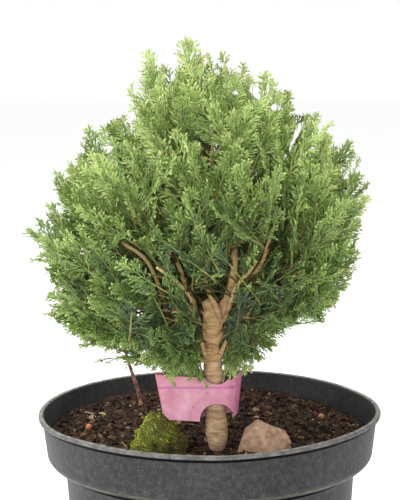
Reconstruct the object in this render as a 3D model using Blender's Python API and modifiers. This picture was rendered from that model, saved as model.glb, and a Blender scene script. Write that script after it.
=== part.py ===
"""A young globe-shaped Lawson cypress in its round nursery pot.

The origin is the centre of the pot's flat underside, +Z is up and -Y is the front.
The crown is shared out among limbs that fan out from the fork of the trunk. Each limb is a bough and
one mass of foliage, and each mass keeps to the cone of space nearest to its own direction.
"""

import math
import random
from collections import namedtuple

import bmesh
import bpy
from mathutils import Matrix, Vector

# Clearances
GAP = 0.0003
FINE = 1e-5
SPACE_GAP = 0.00025
LIMB_GAP = 0.0006

# Pot
POT_HEIGHT = 0.150
RIM_RADIUS = 0.0935
LIP_RADIUS = 0.0015
COLLAR_TOP_RADIUS = 0.0912
COLLAR_BOTTOM_RADIUS = 0.0892
COLLAR_HEIGHT = 0.0205
SHOULDER_DROP = 0.0120
SHOULDER_CURVE = 1.3
WALL_TOP_RADIUS = 0.0792
BASE_RADIUS = 0.0705
WALL = 0.0012
POT_STEPS = 36
DRAIN_HOLES = 6
DRAIN_HOLE_RADIUS = 0.005
DRAIN_CIRCLE_RADIUS = 0.048

# Soil and what lies on it
SOIL_TOP = 0.136
SOIL_STEPS = 28
SOIL_RINGS = (0.018, 0.034, 0.050, 0.065, 0.078)
SOIL_RELIEF = 0.0022
SOIL_LEVEL_MARGIN = 0.005
SOIL_BLEND = 0.012
STONE_PLACE = Vector((0.0285, -0.0300, SOIL_TOP))
STONE_SIZE = Vector((0.0300, 0.0200, 0.0160))
STONE_CORNERS = (
    (-0.50, -0.20, 0.00), (-0.42, 0.42, 0.00), (0.30, 0.50, 0.00), (0.50, -0.05, 0.00),
    (0.20, -0.48, 0.00), (-0.38, -0.40, 0.55), (-0.33, 0.30, 0.62), (-0.12, 0.05, 1.00),
    (0.05, -0.30, 0.92), (0.24, -0.10, 0.70), (0.40, 0.22, 0.52), (0.46, -0.20, 0.38),
    (-0.20, -0.42, 0.86),
)
MOSS_PLACE = Vector((-0.0262, -0.0305, SOIL_TOP))
MOSS_SIZE = Vector((0.0155, 0.0140, 0.0165))
MOSS_SWELL = 0.06
DEAD_STEM_FOOT = Vector((-0.0400, 0.0560, SOIL_TOP))
DEAD_STEM_TIP = Vector((-0.0490, 0.0450, 0.1790))
DEAD_STEM_RADIUS = 0.00125
DEAD_STEM_UPRIGHT = 0.006
DEAD_STEM_BEND = 0.0012
DEAD_STEM_TAPER = 0.4

# Trunk: heights above the soil, sideways lean and radius, from the foot to the fork
TRUNK_FOOT = Vector((0.0037, -0.0310, SOIL_TOP))
TRUNK_STATIONS = (
    (0.0000, 0.0000, 0.0054),
    (0.0060, 0.0000, 0.0060),
    (0.0110, -0.0002, 0.0060),
    (0.0190, -0.0006, 0.0056),
    (0.0360, -0.0016, 0.0048),
    (0.0455, -0.0022, 0.0050),
    (0.0520, -0.0024, 0.0043),
    (0.0590, -0.0025, 0.0040),
    (0.0650, -0.0022, 0.0044),
    (0.0700, -0.0016, 0.0049),
    (0.0735, -0.0012, 0.0046),
)

# Plant label round the trunk
LABEL_BOTTOM = 0.1545
LABEL_TOP = 0.1802
LABEL_THICKNESS = 0.0004
LABEL_LEFT = -0.0285
LABEL_RIGHT = 0.0168
LABEL_SEAT = 0.1625
LABEL_LOWER_NOTCH = (0.0090, 0.0085)
LABEL_UPPER_NOTCH = (0.0076, 0.0075)
LABEL_CORNER = 0.0090

# Crown: an egg, fuller above, whose axis leans a little to the right
CROWN_CENTRE = Vector((-0.0060, -0.0290, 0.2510))
CROWN_LEAN = 0.07
CROWN_RADIUS = 0.0885
CROWN_TOP = 0.3510
CROWN_BOTTOM = 0.1700
CROWN_UPPER_POWER = 1.5
CROWN_LOWER_POWER = 1.6
WINDOW_HALF_WIDTH = 0.0120
WINDOW_TOP = 0.2130
FRONT_AZIMUTH = 270.0

# Limbs: each tier is a ring of boughs, spaced evenly but for an opening at the front
Tier = namedtuple("Tier", "name count elevation opening start inner radius blades")
TIERS = (
    Tier("top", 1, 86, 0, 0.0735, 0.062, 0.0024, 7),
    Tier("upper", 5, 58, 0, 0.0705, 0.044, 0.0019, 6),
    Tier("middle", 7, 31, 52, 0.0655, 0.037, 0.0016, 6),
    Tier("lower", 6, 7, 54, 0.0600, 0.029, 0.0015, 5),
    Tier("skirt", 5, -20, 80, 0.0475, 0.020, 0.0014, 5),
)
DIRECTION_JITTER = 4.0
BOUGH_TAPER = 0.62
BOUGH_FOOT_SHARES = (-1.5, -1.0, -0.5, 0.0, 0.5, 1.0, 1.5)
BOUGH_POINTS = 4
BOUGH_STRAIGHT = 0.0018
BOUGH_OUTWARD = 0.16
BOUGH_SWEEP = 0.45
SEED = 11

# Foliage: shares of the distance from the fork to the crown's surface, and the shape of one spray
GOLDEN_ANGLE = math.radians(137.5)
STEM_SHARE = 0.66
CORE_START = 0.40
CORE_END = 0.80
CORE_CLEAR = 0.0015
CORE_WIDTH = 0.26
CORE_FILL = 0.93
CORE_STEP = 0.97
ROOT_SHARES = (0.50, 0.60)
ROOT_CLEAR = 0.06
TILTS = (0.40, 0.35, 0.30, 0.25, 0.20, 0.15, 0.10)
SPRAY_WIDTHS = (0.66, 0.54, 0.42)
SPRAY_ROLL = 1.2
SPRAY_STALK = 0.12
SPRAY_SUNK = 0.06
SPRAY_TURN = 0.3
SPRAY_THICKNESS = 0.00055
SPRAY_TEETH = 3
STEM_RADIUS = 0.0011
TWIG_RADIUS = 0.0008
FLAT_ANGLE = 0.002

Mass = namedtuple("Mass", "name tier direction others limbs reach")

PLANT = bpy.data.collections.new("lawson_cypress")
PIECES = bpy.data.collections.new("pieces_to_join")
CUTTERS = bpy.data.collections.new("cutters")


def make_material(name, colour, roughness):
    """A plain surface with its colour and roughness."""
    material = bpy.data.materials.new(name)
    material.use_nodes = True
    shader = material.node_tree.nodes["Principled BSDF"]
    shader.inputs["Base Color"].default_value = (*colour, 1.0)
    shader.inputs["Roughness"].default_value = roughness
    shader.inputs["Metallic"].default_value = 0.0
    material.diffuse_color = (*colour, 1.0)
    return material


def add_object(name, data, collection, material=None):
    """A new object in a collection, with one material."""
    obj = bpy.data.objects.new(name, data)
    collection.objects.link(obj)
    if material is not None:
        obj.data.materials.clear()
        obj.data.materials.append(material)
    return obj


def remove_object(obj):
    """Take an object away and leave its mesh to others that share it."""
    bpy.data.objects.remove(obj, do_unlink=True)


def mesh_from(obj):
    """The evaluated mesh of an object, with its loose caps welded."""
    graph = bpy.context.evaluated_depsgraph_get()
    mesh = bpy.data.meshes.new_from_object(obj.evaluated_get(graph))
    welded = bmesh.new()
    welded.from_mesh(mesh)
    bmesh.ops.remove_doubles(welded, verts=welded.verts, dist=1e-7)
    bmesh.ops.recalc_face_normals(welded, faces=welded.faces)
    welded.to_mesh(mesh)
    welded.free()
    return mesh


def mesh_of(name, build):
    """A mesh whose faces one bmesh function makes."""
    shape = bmesh.new()
    build(shape)
    bmesh.ops.recalc_face_normals(shape, faces=shape.faces)
    mesh = bpy.data.meshes.new(name)
    shape.to_mesh(mesh)
    shape.free()
    return mesh


def turned(name, profile, steps, material):
    """A solid of revolution. The profile starts and ends on the axis and runs down its outer side."""
    mesh = bpy.data.meshes.new(name)
    points = [(radius, 0.0, height) for radius, height in profile]
    edges = [(i, i + 1) for i in range(len(points) - 1)]
    mesh.from_pydata(points, edges, [])
    obj = add_object(name, mesh, PLANT, material)
    screw = obj.modifiers.new("turn", "SCREW")
    screw.steps = steps
    screw.render_steps = steps
    screw.use_merge_vertices = True
    screw.merge_threshold = FINE
    obj.data = mesh_from(obj)
    obj.modifiers.clear()
    obj.data.materials.append(material)
    return obj


def tube(name, points, radii, resolution, material):
    """A tapering round limb along a line of points, with closed ends."""
    curve = bpy.data.curves.new(name, "CURVE")
    curve.dimensions = "3D"
    curve.bevel_depth = 1.0
    curve.bevel_resolution = resolution
    curve.use_fill_caps = True
    spline = curve.splines.new("POLY")
    spline.points.add(len(points) - 1)
    for spot, point, radius in zip(spline.points, points, radii):
        spot.co = (*point, 1.0)
        spot.radius = radius
    add_object(name, curve, PLANT, material)


def cut(obj, cutter):
    """Cut one mesh out of another for good."""
    boolean = obj.modifiers.new("cut", "BOOLEAN")
    boolean.operation = "DIFFERENCE"
    boolean.object = cutter
    mesh = mesh_from(obj)
    obj.modifiers.clear()
    obj.data = mesh
    remove_object(cutter)


def aim(start, direction, roll=0.0):
    """A matrix that puts +X along a direction, with its +Z turned round it by a roll."""
    along = direction.normalized()
    across = Vector((0.0, 0.0, 1.0)).cross(along)
    if across.length < 1e-3:
        across = Vector((0.0, 1.0, 0.0))
    across.normalize()
    normal = along.cross(across)
    turn = Matrix.Rotation(roll, 3, along)
    across = turn @ across
    normal = turn @ normal
    columns = Matrix((along, across, normal)).transposed()
    return Matrix.Translation(start) @ columns.to_4x4()


# Pot, soil and what lies on the soil


def pot_inner_radius(height):
    """Radius of the pot's inside at a height."""
    collar_bottom = POT_HEIGHT - COLLAR_HEIGHT
    shoulder_bottom = collar_bottom - SHOULDER_DROP
    stations = (
        (0.0, BASE_RADIUS),
        (shoulder_bottom, WALL_TOP_RADIUS),
        (collar_bottom, COLLAR_BOTTOM_RADIUS),
        (POT_HEIGHT, COLLAR_TOP_RADIUS),
    )
    for (low, low_radius), (high, high_radius) in zip(stations, stations[1:]):
        if height <= high:
            share = (height - low) / (high - low)
            return low_radius + share * (high_radius - low_radius) - WALL
    return COLLAR_TOP_RADIUS - WALL


def shoulder(offset, upward):
    """The rounded step between the pot's wall and its collar, as points of an S curve."""
    bottom = POT_HEIGHT - COLLAR_HEIGHT - SHOULDER_DROP
    points = []
    for share in (0.0, 0.25, 0.5, 0.75, 1.0):
        swell = math.sin(share * math.pi / 2) ** SHOULDER_CURVE
        radius = WALL_TOP_RADIUS + swell * (COLLAR_BOTTOM_RADIUS - WALL_TOP_RADIUS)
        points.append((radius + offset, bottom + share * SHOULDER_DROP))
    return points if upward else points[::-1]


def build_pot():
    """A round nursery pot with a rolled lip, a collar, a rounded shoulder and drainage holes."""
    lip_height = POT_HEIGHT - LIP_RADIUS
    lip_centre = RIM_RADIUS - LIP_RADIUS
    profile = [(0.0, WALL), (BASE_RADIUS - WALL, WALL)]
    profile += shoulder(-WALL, upward=True)
    profile.append((lip_centre - LIP_RADIUS, lip_height))
    for step in range(1, 6):
        angle = math.pi * (1 - step / 4)
        profile.append((lip_centre + LIP_RADIUS * math.cos(angle), lip_height + LIP_RADIUS * math.sin(angle)))
    profile.append((COLLAR_TOP_RADIUS, lip_height - 2 * LIP_RADIUS))
    profile += shoulder(0.0, upward=False)
    profile.append((BASE_RADIUS, WALL))
    profile.append((BASE_RADIUS - WALL, 0.0))
    profile.append((0.0, 0.0))
    pot = turned("pot", profile, POT_STEPS, make_material("charcoal_plastic", (0.055, 0.056, 0.060), 0.5))

    def holes(shape):
        for index in range(DRAIN_HOLES):
            angle = 2 * math.pi * index / DRAIN_HOLES
            place = Vector((math.cos(angle), math.sin(angle), 0.0)) * DRAIN_CIRCLE_RADIUS
            bmesh.ops.create_cone(
                shape, cap_ends=True, segments=10, depth=4 * WALL, matrix=Matrix.Translation(place),
                radius1=DRAIN_HOLE_RADIUS, radius2=DRAIN_HOLE_RADIUS)

    cut(pot, add_object("drain_holes", mesh_of("drain_holes", holes), CUTTERS))


def clear_ground(x, y):
    """0 where something stands on the soil and 1 well away from it."""
    share = 1.0
    feet = (
        (TRUNK_FOOT, TRUNK_STATIONS[1][2]),
        (STONE_PLACE, STONE_SIZE.x / 2),
        (MOSS_PLACE, MOSS_SIZE.x),
        (DEAD_STEM_FOOT, DEAD_STEM_RADIUS),
    )
    for foot, radius in feet:
        away = math.hypot(x - foot.x, y - foot.y) - radius - SOIL_LEVEL_MARGIN
        share = min(share, max(0.0, away / SOIL_BLEND))
    return share


def build_soil():
    """Potting soil that fills the pot to a little under its rim, gently uneven on top."""
    top = SOIL_TOP - GAP
    profile = [(0.0, top)]
    profile += [(radius, top) for radius in SOIL_RINGS]
    for height in (top - 0.0015, POT_HEIGHT - COLLAR_HEIGHT):
        profile.append((pot_inner_radius(height) - 2 * GAP, height))
    for radius, height in shoulder(-WALL - 3 * GAP, upward=False)[2:]:
        profile.append((radius, height))
    profile.append((BASE_RADIUS - WALL - 3 * GAP, WALL + GAP))
    profile.append((0.0, WALL + GAP))
    soil = turned("soil", profile, SOIL_STEPS, make_material("moist_soil", (0.045, 0.033, 0.022), 0.95))
    for vertex in soil.data.vertices:
        x, y, z = vertex.co
        if z > top - 0.0001:
            wave = math.sin(x * 140 + 1.0) * math.cos(y * 115 - 0.6) + 0.6 * math.sin(x * 60 - y * 170)
            vertex.co.z -= SOIL_RELIEF * (0.5 + wave / 3.2) * clear_ground(x, y)


def build_stone():
    """An angular stone lying on the soil."""
    def hull(shape):
        for corner in STONE_CORNERS:
            offset = Vector(part * size for part, size in zip(corner, STONE_SIZE))
            shape.verts.new(STONE_PLACE + offset)
        bmesh.ops.convex_hull(shape, input=shape.verts)

    material = make_material("pinkish_stone", (0.36, 0.22, 0.155), 0.85)
    add_object("stone", mesh_of("stone", hull), PLANT, material)


def build_moss():
    """A low cushion of moss with a flat foot."""
    draw = random.Random(SEED)

    def dome(shape):
        bmesh.ops.create_uvsphere(shape, u_segments=14, v_segments=10, radius=1.0)
        for vertex in shape.verts:
            swell = 1.0 + draw.uniform(-MOSS_SWELL, MOSS_SWELL)
            spread = Vector(part * size * swell for part, size in zip(vertex.co, MOSS_SIZE))
            vertex.co = MOSS_PLACE + spread
        bmesh.ops.bisect_plane(
            shape, geom=shape.verts[:] + shape.edges[:] + shape.faces[:], dist=1e-7,
            plane_co=MOSS_PLACE, plane_no=(0.0, 0.0, -1.0), clear_outer=True)
        rim = [edge for edge in shape.edges if edge.is_boundary]
        bmesh.ops.contextual_create(shape, geom=rim)

    material = make_material("moss", (0.19, 0.20, 0.03), 0.95)
    add_object("moss_cushion", mesh_of("moss", dome), PLANT, material)


def build_dead_stem(material):
    """A thin dead stem that leans out of the soil behind the crown."""
    lean = DEAD_STEM_TIP - DEAD_STEM_FOOT
    points = [DEAD_STEM_FOOT, DEAD_STEM_FOOT + Vector((0.0, 0.0, DEAD_STEM_UPRIGHT))]
    for share in (0.4, 0.7, 1.0):
        bend = Vector((-DEAD_STEM_BEND * math.sin(math.pi * share), 0.0, 0.0))
        points.append(DEAD_STEM_FOOT + lean * share + bend)
    last = len(points) - 1
    radii = [DEAD_STEM_RADIUS * (1.0 - DEAD_STEM_TAPER * i / last) for i in range(len(points))]
    tube("dead_stem", points, radii, 1, material)


# Trunk and boughs


def trunk_axis(height):
    """Centre and radius of the trunk at a height above the soil."""
    for low, high in zip(TRUNK_STATIONS, TRUNK_STATIONS[1:]):
        if height <= high[0] + 1e-9:
            share = (height - low[0]) / (high[0] - low[0])
            lean = low[1] + share * (high[1] - low[1])
            radius = low[2] + share * (high[2] - low[2])
            return TRUNK_FOOT + Vector((lean, 0.0, height)), radius
    raise ValueError("above the fork")


FORK = trunk_axis(TRUNK_STATIONS[-1][0])[0]


def build_trunk(material):
    """The trunk from its flat foot on the soil to its fork."""
    points = [TRUNK_FOOT + Vector((lean, 0.0, height)) for height, lean, radius in TRUNK_STATIONS]
    radii = [radius for height, lean, radius in TRUNK_STATIONS]
    tube("trunk", points, radii, 4, material)


def limb_azimuths(tier):
    """Evenly spaced azimuths in degrees, with the tier's opening centred on the front."""
    if tier.opening == 0:
        return [FRONT_AZIMUTH + 360.0 * i / tier.count for i in range(tier.count)]
    spacing = (360.0 - tier.opening) / (tier.count - 1)
    return [FRONT_AZIMUTH + tier.opening / 2 + spacing * i for i in range(tier.count)]


def unit(azimuth, elevation):
    """The direction at an azimuth and an elevation in degrees."""
    flat = math.cos(math.radians(elevation))
    return Vector((
        flat * math.cos(math.radians(azimuth)),
        flat * math.sin(math.radians(azimuth)),
        math.sin(math.radians(elevation))))


def limb_directions():
    """Each limb's name, tier, azimuth and direction from the fork."""
    draw = random.Random(SEED)
    limbs = []
    for tier in TIERS:
        for index, azimuth in enumerate(limb_azimuths(tier)):
            azimuth += draw.uniform(-DIRECTION_JITTER, DIRECTION_JITTER)
            elevation = tier.elevation + draw.uniform(-DIRECTION_JITTER, DIRECTION_JITTER)
            name = tier.name if tier.count == 1 else f"{tier.name}_{index + 1}"
            limbs.append((name, tier, azimuth, unit(azimuth, elevation)))
    return limbs


def trunk_surface(tier, leave):
    """How far the bark stands out from the trunk's centre, over the height of a bough's foot."""
    centre = trunk_axis(tier.start)[0]
    furthest = 0.0
    for share in BOUGH_FOOT_SHARES:
        beside, radius = trunk_axis(min(tier.start + share * tier.radius, TRUNK_STATIONS[-1][0]))
        furthest = max(furthest, (beside - centre).dot(leave) + radius)
    return furthest


def bezier(start, first, second, stop, count):
    """Points along a cubic curve with two handles."""
    points = []
    for index in range(count):
        share = index / (count - 1)
        rest = 1.0 - share
        bend = first * 3 * rest ** 2 * share + second * 3 * rest * share ** 2
        points.append(start * rest ** 3 + bend + stop * share ** 3)
    return points


def bough_line(tier, azimuth, direction):
    """Centre line of a bough, from the trunk's bark to where its mass of foliage begins."""
    centre = trunk_axis(tier.start)[0]
    end = FORK + direction * tier.inner
    if tier.count == 1:
        leave = Vector((0.0, 0.0, 1.0))
        foot = centre + leave * GAP
    else:
        leave = unit(azimuth, 0.0)
        foot = centre + leave * (trunk_surface(tier, leave) + GAP)
    start = foot + leave * BOUGH_STRAIGHT
    stop = end - direction * BOUGH_STRAIGHT
    first = start + leave * tier.inner * BOUGH_OUTWARD
    second = stop - direction * tier.inner * BOUGH_SWEEP
    return [foot] + bezier(start, first, second, stop, BOUGH_POINTS) + [end]


def build_bough(name, tier, line, material):
    """One tapering bough."""
    last = len(line) - 1
    radii = [tier.radius * (1.0 - (1.0 - BOUGH_TAPER) * i / last) for i in range(len(line))]
    tube("bough_" + name, line, radii, 1, material)
    return list(zip(line, radii))


# Foliage


def crown_radius(height):
    """Half-width of the crown at a height."""
    if height >= CROWN_CENTRE.z:
        share = (height - CROWN_CENTRE.z) / (CROWN_TOP - CROWN_CENTRE.z)
        power = CROWN_UPPER_POWER
    else:
        share = (CROWN_CENTRE.z - height) / (CROWN_CENTRE.z - CROWN_BOTTOM)
        power = CROWN_LOWER_POWER
    return CROWN_RADIUS * max(0.0, 1.0 - share ** power) ** (1.0 / power)


def crown_reach(direction):
    """Distance from the fork to the crown's surface in a direction."""
    near = 0.0
    far = CROWN_TOP
    while far - near > FINE:
        middle = (near + far) / 2
        point = FORK + direction * middle
        axis_x = CROWN_CENTRE.x + CROWN_LEAN * (point.z - CROWN_CENTRE.z)
        across = math.hypot(point.x - axis_x, point.y - CROWN_CENTRE.y)
        if CROWN_BOTTOM < point.z < CROWN_TOP and across < crown_radius(point.z):
            near = middle
        else:
            far = middle
    return near


def in_space(point, mass):
    """True where a point is nearer to its own limb's direction than to any other's, and not in the window."""
    out = point - FORK
    for other in mass.others:
        apart = mass.direction - other
        if out.dot(apart) < SPACE_GAP * apart.length:
            return False
    beside = abs(point.x - FORK.x) < WINDOW_HALF_WIDTH
    return not (beside and point.y < FORK.y and point.z < WINDOW_TOP)


def spray_outline():
    """Outline of a flat spray, 1 long and about 1 wide, with forward-pointing teeth on both sides."""
    side = [(0.0, 0.025)]
    for index in range(SPRAY_TEETH):
        share = index / SPRAY_TEETH
        side.append((0.42 + 0.50 * share, 0.5 - 0.36 * share))
        side.append((0.46 + 0.50 * share, 0.20 - 0.17 * share))
    left = [(x, -y) for x, y in reversed(side)]
    return side + [(1.0, 0.0)] + left


def spray_mesh():
    """The flat spray as a thin solid, 1 long, 1 wide and 1 thick, to be scaled to size."""
    curve = bpy.data.curves.new("spray", "CURVE")
    curve.dimensions = "2D"
    curve.fill_mode = "BOTH"
    curve.extrude = 0.5
    spline = curve.splines.new("POLY")
    outline = spray_outline()
    spline.points.add(len(outline) - 1)
    for spot, (x, y) in zip(spline.points, outline):
        spot.co = (x, y, 0.0, 1.0)
    spline.use_cyclic_u = True
    pattern = add_object("spray", curve, PIECES)
    mesh = mesh_from(pattern)
    remove_object(pattern)
    return mesh


def add_twig(start, end, start_radius, end_radius):
    """A three-sided tapering twig to be joined into a mass."""
    def cone(shape):
        bmesh.ops.create_cone(
            shape, cap_ends=True, segments=3, radius1=start_radius, radius2=end_radius,
            depth=(end - start).length)

    obj = add_object("twig", mesh_of("twig", cone), PIECES)
    obj.matrix_world = aim((start + end) / 2, end - start) @ Matrix.Rotation(math.pi / 2, 4, "Y")
    return obj


def add_core(mass):
    """The dense middle of a mass: a ball drawn in towards its centre where it would leave its space."""
    near = max(CORE_START * mass.reach, mass.tier.inner + CORE_CLEAR)
    far = CORE_END * mass.reach
    centre = FORK + mass.direction * (near + far) / 2
    width = CORE_WIDTH * mass.reach
    matrix = aim(centre, mass.direction) @ Matrix.Diagonal(((far - near) / 2, width, width, 1.0))

    def ball(shape):
        bmesh.ops.create_icosphere(shape, subdivisions=2, radius=1.0, matrix=matrix)
        for vertex in shape.verts:
            while not in_space(centre.lerp(vertex.co, 1.0 / CORE_FILL), mass):
                vertex.co = centre.lerp(vertex.co, CORE_STEP)

    add_object("core", mesh_of("core", ball), PIECES)


def touches_limb(matrix, limbs):
    """True where a spray's flat shape comes too near to the centre line of a bough."""
    inverse = matrix.inverted()
    length = matrix.col[0].to_3d().length
    width = matrix.col[1].to_3d().length
    thickness = matrix.col[2].to_3d().length
    for line in limbs:
        for (start, start_radius), (end, end_radius) in zip(line, line[1:]):
            for share in (0.0, 0.25, 0.5, 0.75, 1.0):
                spot = inverse @ start.lerp(end, share)
                room = max(start_radius, end_radius) + LIMB_GAP
                beside = abs(spot.y) * width < width / 2 + room
                along = -room < spot.x * length < length + room
                if along and beside and abs(spot.z) * thickness < thickness / 2 + room:
                    return True
    return False


def place_spray(mass, pattern, index, draw):
    """The root of one spray and its widest, furthest tilted place within the mass's space, or None."""
    around = index * GOLDEN_ANGLE + draw.uniform(-SPRAY_TURN, SPRAY_TURN)
    roll = draw.uniform(-SPRAY_ROLL, SPRAY_ROLL)
    low, high = ROOT_SHARES
    root_share = high - (high - low) * index / mass.tier.blades
    root_share = max(root_share, mass.tier.inner / mass.reach + ROOT_CLEAR)
    root = FORK + mass.direction * mass.reach * root_share
    side = aim(FORK, mass.direction, around).to_3x3().col[1]
    tilts = TILTS if index else (0.0,)
    for width in SPRAY_WIDTHS:
        for tilt in tilts:
            heading = (mass.direction * math.cos(tilt) + side * math.sin(tilt)).normalized()
            tip = FORK + heading * crown_reach(heading)
            start = root.lerp(tip, SPRAY_STALK)
            size = (tip - start).length
            scale = Matrix.Diagonal((size, size * width, SPRAY_THICKNESS, 1.0))
            matrix = aim(start, tip - root, roll) @ scale
            corners = [matrix @ vertex.co for vertex in pattern.vertices]
            if all(in_space(corner, mass) for corner in corners) and not touches_limb(matrix, mass.limbs):
                return root, matrix
    return None


def join_pieces(stem):
    """Unite a stem with every piece waiting to be joined, and keep only the one outer shell."""
    union = stem.modifiers.new("join", "BOOLEAN")
    union.operation = "UNION"
    union.operand_type = "COLLECTION"
    union.collection = PIECES
    union.solver = "EXACT"
    mesh = mesh_from(stem)
    mesh.transform(stem.matrix_world)
    stem.modifiers.clear()
    stem.data = mesh
    stem.matrix_world = Matrix.Identity(4)
    for piece in list(PIECES.objects):
        remove_object(piece)
    keep_main_shell(mesh)


def keep_main_shell(mesh):
    """Drop every shell but the largest, which fills sealed hollows and removes loose scraps."""
    shape = bmesh.new()
    shape.from_mesh(mesh)
    unseen = set(shape.verts)
    shells = []
    while unseen:
        waiting = [unseen.pop()]
        shell = list(waiting)
        while waiting:
            for edge in waiting.pop().link_edges:
                for vertex in edge.verts:
                    if vertex in unseen:
                        unseen.remove(vertex)
                        waiting.append(vertex)
                        shell.append(vertex)
        shells.append(shell)
    shells.sort(key=len)
    for shell in shells[:-1]:
        bmesh.ops.delete(shape, geom=shell, context="VERTS")
    bmesh.ops.dissolve_limit(shape, angle_limit=FLAT_ANGLE, verts=shape.verts, edges=shape.edges)
    shape.to_mesh(mesh)
    shape.free()


def build_mass(mass, pattern, material):
    """One mass: a stem in line with its bough, twigs and flat sprays that reach the crown's surface."""
    draw = random.Random(f"{SEED} {mass.name}")
    add_core(mass)
    for index in range(mass.tier.blades):
        place = place_spray(mass, pattern, index, draw)
        if place is None:
            continue
        root, matrix = place
        spray = add_object("spray_piece", pattern, PIECES)
        spray.matrix_world = matrix
        add_twig(root, matrix @ Vector((SPRAY_SUNK, 0.0, 0.0)), STEM_RADIUS, TWIG_RADIUS)
    foot = FORK + mass.direction * (mass.tier.inner + GAP)
    stem = add_twig(foot, FORK + mass.direction * mass.reach * STEM_SHARE, STEM_RADIUS, TWIG_RADIUS)
    PIECES.objects.unlink(stem)
    PLANT.objects.link(stem)
    stem.name = "foliage_" + mass.name
    bpy.context.view_layer.update()
    join_pieces(stem)
    stem.data.materials.clear()
    stem.data.materials.append(material)


# Label


def label_path():
    """The label's run seen from above: a flat front held against the trunk and a loose loop behind."""
    centre = trunk_axis((LABEL_TOP + LABEL_BOTTOM) / 2 - SOIL_TOP)[0]
    seat = trunk_axis(LABEL_SEAT - SOIL_TOP)[1]
    front = centre.y - seat - GAP - LABEL_THICKNESS / 2
    back = centre.y + seat + 0.0028
    end = centre.y - 0.0025
    return (
        (LABEL_LEFT, end),
        (LABEL_LEFT + 0.0085, end - 0.0022),
        (centre.x - 0.0110, front + 0.0006),
        (centre.x - 0.0040, front),
        (centre.x + 0.0040, front),
        (centre.x + 0.0095, front + 0.0012),
        (LABEL_RIGHT - 0.0012, front + 0.0040),
        (LABEL_RIGHT, centre.y + 0.0010),
        (LABEL_RIGHT - 0.0022, back - 0.0016),
        (centre.x + 0.0060, back),
        (centre.x - 0.0020, back - 0.0004),
        (centre.x - 0.0100, centre.y + 0.0040),
        (LABEL_LEFT + 0.0100, end + 0.0022),
    )


def build_label():
    """A thin plastic label looped round the trunk, notched above and below where the trunk shows."""
    path = label_path()
    middle = (LABEL_TOP + LABEL_BOTTOM) / 2
    curve = bpy.data.curves.new("label_strip", "CURVE")
    curve.dimensions = "2D"
    curve.fill_mode = "NONE"
    curve.resolution_u = 2
    curve.extrude = (LABEL_TOP - LABEL_BOTTOM) / 2
    spline = curve.splines.new("BEZIER")
    spline.bezier_points.add(len(path) - 1)
    for spot, (x, y) in zip(spline.bezier_points, path):
        spot.co = (x, y, 0.0)
        spot.handle_left_type = "AUTO"
        spot.handle_right_type = "AUTO"
    spline.use_cyclic_u = True
    strip = add_object("label_strip", curve, PIECES)
    mesh = mesh_from(strip)
    remove_object(strip)
    mesh.transform(Matrix.Translation((0.0, 0.0, middle)))
    label = add_object("label", mesh, PLANT)
    wall = label.modifiers.new("wall", "SOLIDIFY")
    wall.thickness = LABEL_THICKNESS
    wall.offset = 0.0
    label.data = mesh_from(label)
    label.modifiers.clear()
    front = path[3][1]
    notch_x = TRUNK_FOOT.x

    def round_notch(height, size):
        """A flattened cylinder through the label's front only."""
        half_width, half_height = size
        place = Matrix.Translation((notch_x, front, height))
        scale = Matrix.Diagonal((half_width, 1.0, half_height, 1.0))
        matrix = place @ scale @ Matrix.Rotation(math.pi / 2, 4, "X")

        def cylinder(shape):
            bmesh.ops.create_cone(
                shape, cap_ends=True, segments=16, radius1=1.0, radius2=1.0, depth=0.008, matrix=matrix)

        return cylinder

    def corner(shape):
        place = Matrix.Translation((LABEL_LEFT, path[0][1], LABEL_BOTTOM))
        scale = Matrix.Diagonal((LABEL_CORNER, 0.03, 0.03, 1.0))
        bmesh.ops.create_cube(shape, size=1.0, matrix=place @ Matrix.Rotation(-math.pi / 4, 4, "Y") @ scale)

    cutters = {
        "lower_notch": round_notch(LABEL_SEAT - LABEL_LOWER_NOTCH[1], LABEL_LOWER_NOTCH),
        "upper_notch": round_notch(LABEL_TOP, LABEL_UPPER_NOTCH),
        "cut_corner": corner,
    }
    for name, shape in cutters.items():
        cut(label, add_object(name, mesh_of(name, shape), CUTTERS))
    label.data.materials.clear()
    label.data.materials.append(make_material("pink_plastic", (0.72, 0.33, 0.42), 0.5))


def main():
    """Build the whole plant in its pot."""
    for obj in list(bpy.data.objects):
        bpy.data.objects.remove(obj, do_unlink=True)
    for collection in (PLANT, PIECES, CUTTERS):
        bpy.context.scene.collection.children.link(collection)
    bark = make_material("bark", (0.30, 0.19, 0.11), 0.85)
    dead_wood = make_material("dead_wood", (0.12, 0.065, 0.035), 0.9)
    green = make_material("foliage", (0.12, 0.20, 0.06), 0.7)
    build_pot()
    build_soil()
    build_stone()
    build_moss()
    build_dead_stem(dead_wood)
    build_trunk(bark)
    build_label()
    limbs = limb_directions()
    lines = []
    for name, tier, azimuth, direction in limbs:
        lines.append(build_bough(name, tier, bough_line(tier, azimuth, direction), bark))
    pattern = spray_mesh()
    for name, tier, azimuth, direction in limbs:
        others = [other for _, _, _, other in limbs if other is not direction]
        mass = Mass(name, tier, direction, others, lines, crown_reach(direction))
        build_mass(mass, pattern, green)


main()
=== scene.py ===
"""The looks of a young globe-shaped Lawson cypress in its round nursery pot.

Metres, +Z up, -Y the front. The crown grows by the same rule as the solids: limbs fan out from the fork
of the trunk, each mass of foliage keeps to the directions nearest to its own limb, and sprays are dealt
round its stem by the golden angle until they reach the crown's surface.
"""

import math
import random
from collections import namedtuple

import bmesh
import bpy
import numpy as np
from mathutils import Matrix, Vector, noise


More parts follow.
